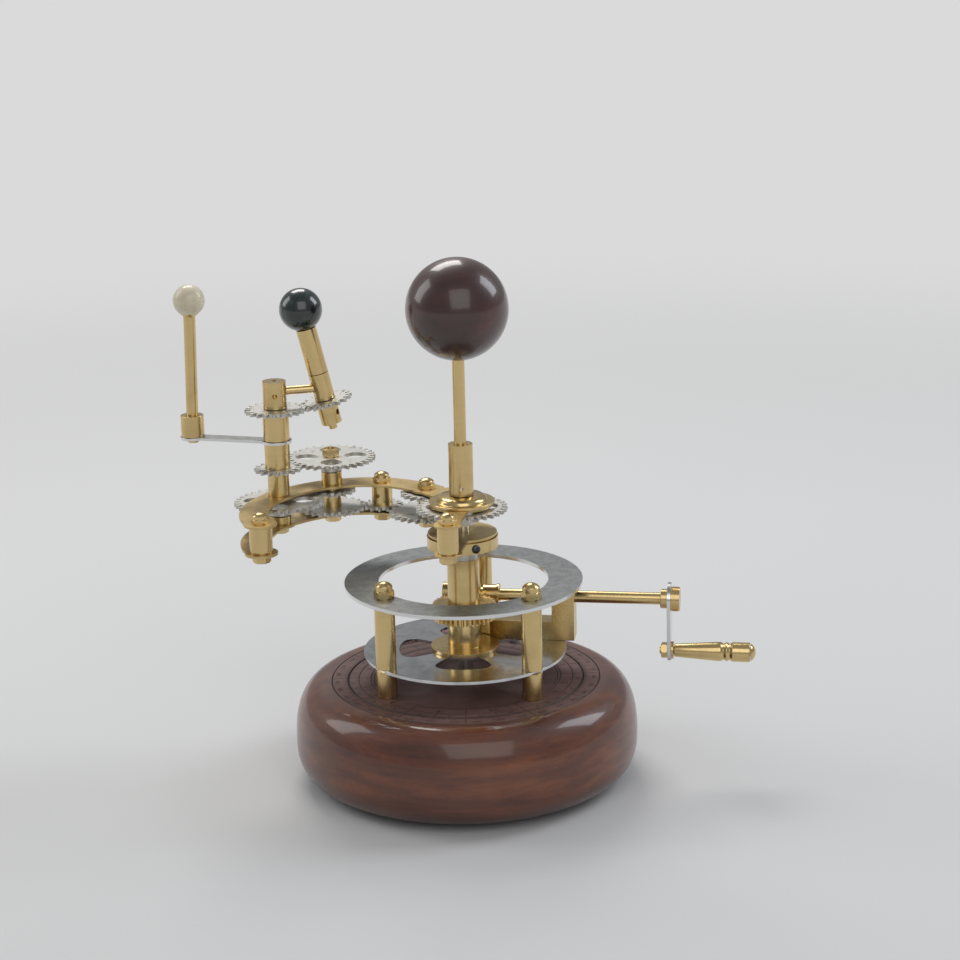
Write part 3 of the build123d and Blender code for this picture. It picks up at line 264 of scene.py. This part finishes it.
def satin_steel(name, pale=(0.37, 0.385, 0.385), dark=(0.215, 0.23, 0.225), rough=0.3):
    """Satin steel sheet with a fine speckled bloom on its faces; its cut edges are smoother, and their
    colour is a painted highlight.
    """
    f = Finish(name, metallic=1.0)
    at = f.place()
    bloom = f.noise(at, 230.0, 8.0, 0.75, 0.3)
    fine = f.noise(at, 1500.0, 3.0, 0.65)
    wide = f.noise(at, 38.0, 2.0)
    edge = f.upright()
    mottle = bloom.between(0.38, 0.62) * 0.55 + fine.between(0.45, 0.6) * 0.25 + wide * 0.2
    base = f.mix(mottle, pale, dark)
    # Painted highlight: the cut edges are coloured near white to stand for the light they catch.
    colour = f.mix(edge, base, (0.78, 0.78, 0.77))
    smooth = (rough + fine * 0.14 + bloom * 0.1) * (1 - edge * 0.5)
    return f.wear(Base_Color=colour, Roughness=smooth, Normal=f.bump(fine, 0.12, 0.00005))


def polished_steel(name, tone=(0.66, 0.665, 0.67), rough=0.09):
    """Bright steel with a faint haze and hairline scratches."""
    f = Finish(name, metallic=1.0)
    at = f.place()
    haze = f.noise(at, 140.0, 5.0, 0.6, 0.5)
    lines = f.noise(f.place(scale=(1, 30, 1), turn=(0, 0, 0.9)), 300.0, 3.0)
    colour = f.mix(haze.between(0.4, 0.75), tone, tuple(c * 0.72 for c in tone))
    return f.wear(Base_Color=colour, Roughness=rough + haze * 0.12 + lines * 0.05,
                  Normal=f.bump(lines, 0.05, 0.00003))


def stamped_steel(name):
    """Pale gear blanks: a frosted face, darker in the pits."""
    f = Finish(name, metallic=1.0)
    at = f.place()
    frost = f.noise(at, 900.0, 5.0, 0.7)
    stain = f.noise(at, 210.0, 4.0, 0.6, 0.5)
    dirt = stain.between(0.5, 0.72) * 0.8 + frost.between(0.58, 0.7) * 0.35
    colour = f.mix(dirt, (0.63, 0.62, 0.58), (0.30, 0.285, 0.25))
    return f.wear(Base_Color=colour, Roughness=0.26 + frost * 0.2 + stain * 0.12,
                  Normal=f.bump(frost, 0.2, 0.00006))


def varnished_mahogany(name):
    """The turned base: red-brown wood with straight grain under a glossy, slightly uneven varnish."""
    f = Finish(name, coat=0.7, coat_roughness=0.1)
    lie = (0.05, 0.04, 0.3)
    grain = f.noise(f.place(scale=(0.7, 2.6, 8.0), turn=lie), 26.0, 6.0, 0.6, 0.25)
    hair = f.noise(f.place(scale=(0.6, 7.0, 12.0), turn=lie), 190.0, 5.0, 0.7)
    patch = f.noise(f.place(scale=(1, 1, 2.2)), 17.0, 4.0, 0.6, 0.4)
    depth = grain * 0.55 + hair * 0.2 + patch * 0.35
    light = f.ramp(depth, (0.38, (0.052, 0.0125, 0.0065)), (0.54, (0.118, 0.030, 0.0115)),
                   (0.72, (0.235, 0.068, 0.020)))
    # Painted shade: the wood is coloured darker towards the bottom, on the undercut below the widest point
    # where shade falls.
    height = f.split(f.node("TexCoord", output=3))[2]
    colour = f.mix(height.between(0.0015, 0.016), (0.040, 0.011, 0.006), light)
    ripple = f.noise(f.node("TexCoord", output=3), 48.0, 2.0)
    relief = f.bump(hair, 0.05, 0.00006)
    return f.wear(Base_Color=colour, Roughness=0.32 + hair * 0.14 + patch * 0.1,
                  Coat_Weight=0.55 + patch * 0.3, Normal=f.bump(ripple, 0.05, 0.0006, relief))


def dial_wood(name):
    """The flat top under its engraving: the same wood, bare and dusty, its turned grooves burnt dark."""
    f = Finish(name, coat=0.08, coat_roughness=0.35)
    at = f.node("TexCoord", output=3)
    grain = f.noise(f.place(scale=(0.7, 4.5, 1), turn=(0, 0, 0.3)), 60.0, 6.0, 0.65, 0.3)
    hair = f.noise(f.place(scale=(0.5, 9.0, 1), turn=(0, 0, 0.3)), 240.0, 4.0, 0.7)
    dust = f.noise(at, 90.0, 6.0, 0.75, 0.6)
    light = f.ramp(grain * 0.4 + hair * 0.3 + dust * 0.4,
                   (0.38, (0.088, 0.040, 0.033)), (0.56, (0.150, 0.076, 0.064)),
                   (0.76, (0.225, 0.128, 0.108)))
    x, y, _ = f.split(at)
    radius = x.hypot(y) * 1000
    burnt = 0
    for middle, width in DIAL_GROOVES:
        burnt = (1 - abs(radius - middle).between(width * 0.4, width * 0.75)) + burnt
    scorched = f.mix(burnt.at_most(1.0) * (0.75 + dust * 0.3), light, (0.020, 0.010, 0.008))
    return f.wear(Base_Color=scorched, Roughness=0.5 + hair * 0.2,
                  Normal=f.bump(hair * 0.7 + dust * 0.3, 0.25, 0.0001))


def sun_mahogany(name):
    """The Sun: very dark red wood, French-polished, with slow soft clouds of colour."""
    f = Finish(name, coat=0.8, coat_roughness=0.12)
    lie = (0.5, 1.0, 0.2)
    grain = f.noise(f.place(scale=(1.0, 3.0, 2.0), turn=lie), 30.0, 4.0, 0.5, 0.4)
    hair = f.noise(f.place(scale=(0.6, 9.0, 7.0), turn=lie), 150.0, 4.0, 0.6)
    colour = f.ramp(grain * 0.75 + hair * 0.2, (0.32, (0.022, 0.0055, 0.0040)),
                    (0.50, (0.048, 0.0105, 0.0070)), (0.68, (0.098, 0.0225, 0.0125)))
    return f.wear(Base_Color=colour, Roughness=0.34 + hair * 0.12, Coat_Weight=0.7 + grain * 0.3,
                  Normal=f.bump(hair, 0.03, 0.00005))


def green_stone(name):
    """The Earth: polished black-green stone with a few paler clouds."""
    f = Finish(name, coat=0.9, coat_roughness=0.05)
    at = f.node("TexCoord", output=3)
    cloud = f.noise(at, 190.0, 6.0, 0.65, 1.0)
    vein = f.noise(at, 260.0, 4.0, 0.6, 2.0)
    line = 1 - abs(vein - 0.5).between(0.0, 0.022)
    deep = f.ramp(cloud, (0.40, (0.0016, 0.0050, 0.0046)), (0.58, (0.0040, 0.0165, 0.0135)),
                  (0.76, (0.018, 0.060, 0.046)))
    colour = f.mix(line * cloud.between(0.5, 0.7) * 0.5, deep, (0.10, 0.17, 0.14))
    return f.wear(Base_Color=colour, Roughness=0.2 + cloud * 0.16, Normal=f.bump(cloud, 0.03, 0.0001))


def cream_bead(name):
    """The Moon: a smooth cream bead with faint growth clouds."""
    f = Finish(name, coat=0.35, coat_roughness=0.12)
    f.shader.inputs["Subsurface Weight"].default_value = 0.12
    f.shader.inputs["Subsurface Scale"].default_value = 0.002
    at = f.node("TexCoord", output=3)
    cloud = f.noise(at, 150.0, 5.0, 0.6, 0.8)
    colour = f.ramp(cloud, (0.3, (0.66, 0.58, 0.40)), (0.6, (0.80, 0.74, 0.57)), (0.8, (0.86, 0.82, 0.68)))
    return f.wear(Base_Color=colour, Roughness=0.28 + cloud * 0.15, Normal=f.bump(cloud, 0.04, 0.0001))


def green_felt(name):
    """The pad under the base."""
    f = Finish(name, sheen=0.6)
    at = f.node("TexCoord", output=3)
    fibre = f.noise(at, 1700.0, 4.0, 0.7, 1.0)
    colour = f.ramp(fibre, (0.35, (0.02, 0.05, 0.03)), (0.7, (0.05, 0.12, 0.07)))
    return f.wear(Base_Color=colour, Roughness=0.85 + fibre * 0.1, Normal=f.bump(fibre, 0.6, 0.0003))


def burnt_line(name):
    """Engraving burnt into the dial."""
    f = Finish(name)
    at = f.node("TexCoord", output=3)
    soot = f.noise(at, 800.0, 4.0, 0.6)
    colour = f.ramp(soot, (0.35, (0.010, 0.005, 0.004)), (0.7, (0.045, 0.020, 0.015)))
    return f.wear(Base_Color=colour, Roughness=0.6 + soot * 0.2, Normal=f.bump(soot, 0.3, 0.0001))


BRASS = turned_brass("turned_brass")
BRASS_CRANK = turned_brass("turned_brass_crank", along=CRANK_DIRECTION)
BRASS_BLOCK = turned_brass("milled_brass", along=(0.3, 0.95, 0.1), rough=0.2)
BRASS_SHEET = sheet_brass("sheet_brass")
RING_STEEL = satin_steel("satin_ring_steel")
STRIP_STEEL = satin_steel("strip_steel", pale=(0.50, 0.50, 0.49), dark=(0.30, 0.30, 0.30), rough=0.24)
DARK_STEEL = polished_steel("blued_screw_steel", tone=(0.085, 0.088, 0.10), rough=0.2)
PLATE_STEEL = polished_steel("polished_plate_steel")
ROD_STEEL = polished_steel("bright_rod_steel", tone=(0.72, 0.71, 0.69), rough=0.13)
GEAR_STEEL = stamped_steel("stamped_gear_steel")
BASE_WOOD = varnished_mahogany("varnished_mahogany")
DIAL_WOOD = dial_wood("dial_mahogany")
SUN_WOOD = sun_mahogany("sun_mahogany")
EARTH_STONE = green_stone("earth_green_stone")
MOON_BEAD = cream_bead("moon_cream_bead")
FELT = green_felt("green_felt")
INK = burnt_line("burnt_engraving")


def piece(name, mesh, body, replaces=()):
    """Adds a finished mesh to the scene, riding on its body."""
    obj = bpy.data.objects.new(name, mesh)
    bpy.context.scene.collection.objects.link(obj)
    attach(obj, body)
    if replaces:
        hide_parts(*replaces)
    return obj


def plain_mesh(holder):
    """What an object evaluates to, as a mesh of its own; the object goes."""
    bpy.context.scene.collection.objects.link(holder)
    mesh = bpy.data.meshes.new_from_object(holder.evaluated_get(bpy.context.evaluated_depsgraph_get()))
    bpy.data.objects.remove(holder)
    return mesh


def applied(mesh, *modifiers, sharp=32):
    """The mesh after its modifiers, shaded smooth except across sharp edges."""
    for polygon in mesh.polygons:
        polygon.use_smooth = True
    mesh.set_sharp_from_angle(angle=radians(sharp))
    holder = bpy.data.objects.new("holder", mesh)
    for kind, settings in modifiers:
        modifier = holder.modifiers.new(kind.lower(), kind)
        for key, value in settings.items():
            setattr(modifier, key, value)
    return plain_mesh(holder)


def eased(width):
    """The settings that round every sharp edge by a small width in millimetres."""
    return ("BEVEL", {"width": width * MM, "segments": EASED_SEGMENTS, "limit_method": "ANGLE",
                      "angle_limit": EASED_ABOVE, "harden_normals": True, "use_clamp_overlap": True})


def dressed(node, finish, width):
    """A CAD node's own shape with eased edges and its finish."""
    source = frame["nodes"][node]
    work = bmesh.new()
    work.from_mesh(source.data)
    bmesh.ops.remove_doubles(work, verts=work.verts, dist=2e-6)
    bmesh.ops.dissolve_limit(work, angle_limit=radians(0.6), verts=work.verts, edges=work.edges)
    mesh = bpy.data.meshes.new(node + "_shape")
    work.to_mesh(mesh)
    work.free()
    mesh.materials.clear()
    mesh.materials.append(finish)
    return piece(node + "_finished", applied(mesh, eased(width)), source["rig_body"], replaces=[node])


for node, finish, width in (
        ("base_felt", FELT, 0.2), ("spindle", ROD_STEEL, 0.2), ("spindle_fastener", STRIP_STEEL, 0.15),
        ("lower_plate", PLATE_STEEL, 0.12), ("pillars", BRASS, 0.18), ("pillar_studs", ROD_STEEL, 0.1),
        ("upper_ring", RING_STEEL, 0.12), ("pillar_nuts", BRASS, 0.15), ("lower_bearing", BRASS, 0.2),
        ("crank_bracket", BRASS_BLOCK, 0.25), ("bracket_screws", ROD_STEEL, 0.15),
        ("centre_gear", GEAR_STEEL, 0.1), ("centre_gear_screw", BRASS, 0.2), ("sun_sleeve", BRASS, 0.25),
        ("sun_stem", BRASS, 0.1), ("sun_ball", SUN_WOOD, 0.1), ("crank_shaft", BRASS_CRANK, 0.15),
        ("worm", BRASS_CRANK, 0.1), ("crank_collars", BRASS_CRANK, 0.2), ("crank_arm", STRIP_STEEL, 0.15),
        ("crank_nuts", BRASS_CRANK, 0.2), ("handle_pin", BRASS_CRANK, 0.15),
        ("crank_handle", BRASS_CRANK, 0.2), ("column_tube", BRASS, 0.15),
        ("thrust_collar", ROD_STEEL, 0.2), ("worm_wheel", BRASS, 0.08), ("hub_disc", BRASS, 0.25),
        ("hub_disc_screw", DARK_STEEL, 0.1), ("arm_lower_plate", BRASS_SHEET, 0.12),
        ("arm_upper_plate", BRASS_SHEET, 0.12), ("arm_flange", BRASS, 0.25), ("arm_spacers", BRASS, 0.2),
        ("arm_studs", ROD_STEEL, 0.15), ("arm_dome_nuts", BRASS, 0.15), ("arm_hex_nuts", BRASS, 0.15),
        ("arm_bushes", BRASS, 0.15), ("first_idler_gears", GEAR_STEEL, 0.1),
        ("first_idler_sleeve", BRASS, 0.15), ("second_idler_gear", GEAR_STEEL, 0.1),
        ("second_idler_collar", BRASS, 0.2), ("third_idler_arbor", BRASS, 0.2),
        ("third_idler_gears", GEAR_STEEL, 0.1), ("third_idler_nuts", BRASS, 0.15),
        ("moon_drive_gear", GEAR_STEEL, 0.1), ("earth_shaft", BRASS, 0.15),
        ("earth_gear", GEAR_STEEL, 0.1), ("earth_cap", BRASS, 0.2), ("earth_rod", BRASS, 0.1),
        ("earth_sleeve", BRASS, 0.2), ("moon_pinion", GEAR_STEEL, 0.1), ("moon_tubes", BRASS, 0.2),
        ("moon_arm", STRIP_STEEL, 0.12), ("earth_wheel", GEAR_STEEL, 0.1), ("moon_post", BRASS, 0.15),
        ("moon_ball", MOON_BEAD, 0.1), ("spin_shaft", BRASS, 0.15), ("earth_stem", BRASS, 0.2),
        ("tilted_gear", GEAR_STEEL, 0.1), ("earth_ball", EARTH_STONE, 0.1)):
    dressed(node, finish, width)


def lathe(name, profile):
    """A closed solid turned about Z from radius and height pairs, bottom middle to top middle."""
    work = bmesh.new()
    angles = [2 * pi * k / LATHE_SECTORS for k in range(LATHE_SECTORS)]
    rings = []
    for radius, z in profile:
        if radius == 0:
            rings.append([work.verts.new((0, 0, z * MM))] * LATHE_SECTORS)
        else:
            r = radius * MM
            rings.append([work.verts.new((r * cos(angle), r * sin(angle), z * MM)) for angle in angles])
    for low, high in zip(rings, rings[1:]):
        for k in range(LATHE_SECTORS):
            following = (k + 1) % LATHE_SECTORS
            corners = [low[k], low[following], high[following], high[k]]
            work.faces.new(list(dict.fromkeys(corners)))
    bmesh.ops.recalc_face_normals(work, faces=work.faces)
    mesh = bpy.data.meshes.new(name)
    work.to_mesh(mesh)
    work.free()
    return mesh


def base_profile():
    """The squashed ball of the base from its foot up to the dial, with the dial's turned grooves."""
    line = [(0, FELT_THICK)]
    for index in range(LATHE_STEPS, 0, -1):
        t = index / LATHE_STEPS * pi / 2
        line.append((BASE_FOOT_R + (BASE_R - BASE_FOOT_R) * cos(t) ** (2 / LOWER_ROUNDNESS),
                     BASE_WIDEST_Z - (BASE_WIDEST_Z - FELT_THICK) * sin(t) ** (2 / LOWER_ROUNDNESS)))
    for index in range(LATHE_STEPS + 1):
        t = index / LATHE_STEPS * pi / 2
        line.append((DIAL_R + (BASE_R - DIAL_R) * cos(t) ** (2 / UPPER_ROUNDNESS),
                     BASE_WIDEST_Z + (DIAL_Z - BASE_WIDEST_Z) * sin(t) ** (2 / UPPER_ROUNDNESS)))
    for middle, width in DIAL_GROOVES:
        line += [(middle + width / 2, DIAL_Z), (middle, DIAL_Z - width * 0.5), (middle - width / 2, DIAL_Z)]
    return line + [(0, DIAL_Z)]


def turned_base():
    """The base in its two woods, the varnished body and the bare dial."""
    mesh = lathe("turned_base_shape", base_profile())
    mesh.materials.append(BASE_WOOD)
    mesh.materials.append(DIAL_WOOD)
    for polygon in mesh.polygons:
        middle = polygon.center
        if middle.z > (DIAL_Z - 0.5) * MM and hypot(middle.x, middle.y) < DIAL_R * MM:
            polygon.material_index = 1
    return piece("turned_base", applied(mesh, sharp=25), "stand", replaces=["base"])


class Layout:
    """A geometry node tree built node by node, with named inputs for its sizes."""

    def __init__(self, name, **sizes):
        self.tree = bpy.data.node_groups.new(name, "GeometryNodeTree")
        self.sockets = {}
        self.tree.interface.new_socket("Geometry", in_out="INPUT", socket_type="NodeSocketGeometry")
        self.tree.interface.new_socket("Geometry", in_out="OUTPUT", socket_type="NodeSocketGeometry")
        for size, value in sizes.items():
            kind = "NodeSocketInt" if isinstance(value, int) else "NodeSocketFloat"
            self.sockets[size] = self.tree.interface.new_socket(size, in_out="INPUT", socket_type=kind)
            self.sockets[size].default_value = value
        self.given = self.tree.nodes.new("NodeGroupInput").outputs
        self.result = self.tree.nodes.new("NodeGroupOutput").inputs[0]

    def node(self, kind, settings=None, sockets=None, output=0):
        made = self.tree.nodes.new(kind)
        for name, value in (settings or {}).items():
            setattr(made, name, value)
        for key, value in (sockets or {}).items():
            if isinstance(value, bpy.types.NodeSocket):
                self.tree.links.new(value, made.inputs[key])
            else:
                made.inputs[key].default_value = value
        return made.outputs[output]

    def made(self, finish, **values):
        """The layout's plain mesh for these sizes."""
        holder = bpy.data.objects.new("layout_holder", bpy.data.meshes.new("layout_seed"))
        modifier = holder.modifiers.new("layout", "NODES")
        modifier.node_group = self.tree
        for size, value in values.items():
            modifier[self.sockets[size].identifier] = value
        result = plain_mesh(holder)
        result.materials.clear()
        result.materials.append(finish)
        return result


def ring_of_bars(finish):
    """Small bars that stand round a circle, each pointing at the middle."""
    layout = Layout("ring_of_bars", Count=60, Radius=0.05, Long=0.002, Wide=0.0002, High=0.00004)
    given = layout.given
    circle = layout.node("GeometryNodeMeshCircle", sockets={"Vertices": given["Count"],
                                                            "Radius": given["Radius"]})
    size = layout.node("ShaderNodeCombineXYZ", sockets={0: given["Long"], 1: given["Wide"],
                                                        2: given["High"]})
    bar = layout.node("GeometryNodeMeshCube", sockets={"Size": size})
    index = layout.node("GeometryNodeInputIndex")
    share = layout.node("ShaderNodeMath", {"operation": "DIVIDE"}, {0: index, 1: given["Count"]})
    angle = layout.node("ShaderNodeMath", {"operation": "MULTIPLY"}, {0: share, 1: 2 * pi})
    turn = layout.node("ShaderNodeCombineXYZ", sockets={2: angle})
    turned = layout.node("FunctionNodeEulerToRotation", sockets={0: turn})
    placed = layout.node("GeometryNodeInstanceOnPoints",
                         sockets={"Points": circle, "Instance": bar, "Rotation": turned})
    whole = layout.node("GeometryNodeRealizeInstances", sockets={0: placed})
    dyed = layout.node("GeometryNodeSetMaterial", sockets={"Geometry": whole, "Material": finish})
    layout.tree.links.new(dyed, layout.result)
    return layout


def joined(name, parts, finish):
    """One mesh from several meshes, each with its own place."""
    work = bmesh.new()
    for mesh, matrix in parts:
        placed = mesh.copy()
        placed.transform(matrix)
        work.from_mesh(placed)
        bpy.data.meshes.remove(placed)
    mesh = bpy.data.meshes.new(name)
    work.to_mesh(mesh)
    work.free()
    mesh.materials.clear()
    mesh.materials.append(finish)
    return mesh


def numeral(text, height):
    """One flat engraved number."""
    curve = bpy.data.curves.new("numeral", "FONT")
    curve.body = text
    curve.size = height * MM
    curve.extrude = MARK_HIGH * MM / 2
    curve.resolution_u = 3
    curve.align_x = "CENTER"
    curve.align_y = "CENTER"
    return plain_mesh(bpy.data.objects.new("numeral_holder", curve))


def dial_marks():
    """Everything burnt into the dial: fine and coarse divisions, and three rings of plain numbers."""
    bars = ring_of_bars(INK)
    lift = Matrix.Translation((0, 0, DIAL_Z * MM))
    parts = []
    for count, inner, outer, wide in LINE_RINGS:
        mesh = bars.made(INK, Count=count, Radius=(inner + outer) / 2 * MM, Long=(outer - inner) * MM,
                         Wide=wide * MM, High=MARK_HIGH * MM)
        parts.append((mesh, lift))
    for count, radius, height, step in NUMBER_RINGS:
        for index in range(count):
            angle = 2 * pi * (index + 0.5) / count
            spin = Matrix.Rotation(angle - pi / 2, 4, "Z")
            place = Matrix.Translation((radius * MM * cos(angle), radius * MM * sin(angle), DIAL_Z * MM))
            parts.append((numeral(str(step * (index + 1)), height), place @ spin))
    return piece("dial_marks", joined("dial_marks_shape", parts, INK), "stand")


def crank_nut_knurl():
    """The fine ribs rolled round the crank's end nut."""
    out = Vector(CRANK_DIRECTION)
    up = Vector((0, 0, 1))
    turn = Matrix((up.cross(out), up, out)).transposed().to_4x4()
    middle = CRANK_FOOT + out * (CRANK_NUT_START + CRANK_NUT_LONG / 2)
    ribs = ring_of_bars(BRASS_CRANK).made(
        BRASS_CRANK, Count=RIB_COUNT, Radius=(CRANK_NUT_R - RIB_SUNK) * MM, Long=RIB_DEEP * MM,
        Wide=RIB_WIDE * MM, High=(CRANK_NUT_LONG - 2 * RIB_INSET) * MM)
    place = Matrix.Translation(middle * MM) @ turn
    return piece("crank_nut_knurl", joined("crank_nut_knurl_shape", [(ribs, place)], BRASS_CRANK), "crank")


turned_base()
dial_marks()
crank_nut_knurl()


def floor():
    """A plain pale floor that keeps the object's shadow and runs on evenly out of the frame."""
    f = Finish("pale_floor")
    at = f.node("TexCoord", output=3)
    haze = f.noise(at, 3.0, 3.0)
    f.wear(Base_Color=f.mix(haze, *NEAR_FLOOR), Roughness=0.75 + haze * 0.1)
    x, y, _ = f.split(at)
    rays = f.node("LightPath").socket.node.outputs
    camera_ray, glossy_ray, transmission_ray = (
        Wire(f, rays[name]) for name in ("Is Camera Ray", "Is Glossy Ray", "Is Transmission Ray"))
    glow = f.node("Emission", sockets={"Color": (*FAR_FLOOR, 1),
                                       "Strength": camera_ray + glossy_ray + transmission_ray})
    near = Wire(f, f.shader.outputs[0])
    mixed = f.node("MixShader", sockets={0: x.hypot(y).between(0.25, 1.2), 1: near, 2: glow})
    f.tree.links.new(mixed.socket, f.tree.nodes["Material Output"].inputs["Surface"])
    mesh = bpy.data.meshes.new("floor")
    far = FLOOR_HALF_M
    mesh.from_pydata([(-far, -far, 0), (far, -far, 0), (far, far, 0), (-far, far, 0)], [], [(0, 1, 2, 3)])
    mesh.materials.append(f.material)
    obj = bpy.data.objects.new("floor", mesh)
    bpy.context.scene.collection.objects.link(obj)


def soft_box(name, place, size, watts, tint=(1, 1, 1)):
    """A square studio light aimed at the middle of the object."""
    lamp = bpy.data.lights.new(name, "AREA")
    lamp.shape = "RECTANGLE"
    lamp.size, lamp.size_y = size
    lamp.energy = watts
    lamp.color = tint
    obj = bpy.data.objects.new(name, lamp)
    obj.location = place
    obj.rotation_mode = "QUATERNION"
    obj.rotation_quaternion = (Vector((0, 0, 0.11)) - Vector(place)).to_track_quat("-Z", "Y")
    bpy.context.scene.collection.objects.link(obj)


def studio():
    """A soft light high behind, a cool one on the right, a dimmer one on the left and one in front."""
    world = bpy.data.worlds.new("studio")
    world.use_nodes = True
    world.node_tree.nodes["Background"].inputs["Color"].default_value = (0.95, 0.97, 1.0, 1)
    world.node_tree.nodes["Background"].inputs["Strength"].default_value = 0.32
    bpy.context.scene.world = world
    soft_box("high_back_light", (-0.2, 0.7, 0.95), (0.6, 0.4), 4.6, (1.0, 0.98, 0.95))
    soft_box("right_window", (0.85, 0.25, 0.75), (0.4, 0.6), 3.4, (0.88, 0.93, 1.0))
    soft_box("left_window", (-0.85, 0.2, 0.62), (0.4, 0.6), 1.9)
    soft_box("front_light", (0.15, -0.95, 0.8), (0.9, 0.9), 3.0, (1.0, 0.99, 0.97))
    bpy.context.scene.view_settings.view_transform = "Standard"


def camera():
    """The camera, looking down on its target and rolled a little."""
    elevation, roll = radians(CAMERA_ELEVATION), radians(CAMERA_ROLL)
    ahead = Vector((0, cos(elevation), -sin(elevation)))
    right = Vector((1, 0, 0))
    up = right.cross(ahead)
    lens = bpy.data.cameras.new("camera")
    lens.lens = LENS_MM
    lens.sensor_width = SENSOR_MM
    lens.clip_start, lens.clip_end = 0.05, 40
    obj = bpy.data.objects.new("camera", lens)
    bpy.context.scene.collection.objects.link(obj)
    across = right * cos(roll) + up * sin(roll)
    above = up * cos(roll) - right * sin(roll)
    turn = Matrix((across, above, -ahead)).transposed()
    obj.rotation_mode = "QUATERNION"
    obj.rotation_quaternion = turn.to_quaternion()
    obj.location = (CAMERA_TARGET - ahead * CAMERA_DISTANCE) * MM
    bpy.context.scene.camera = obj


floor()
studio()
camera()
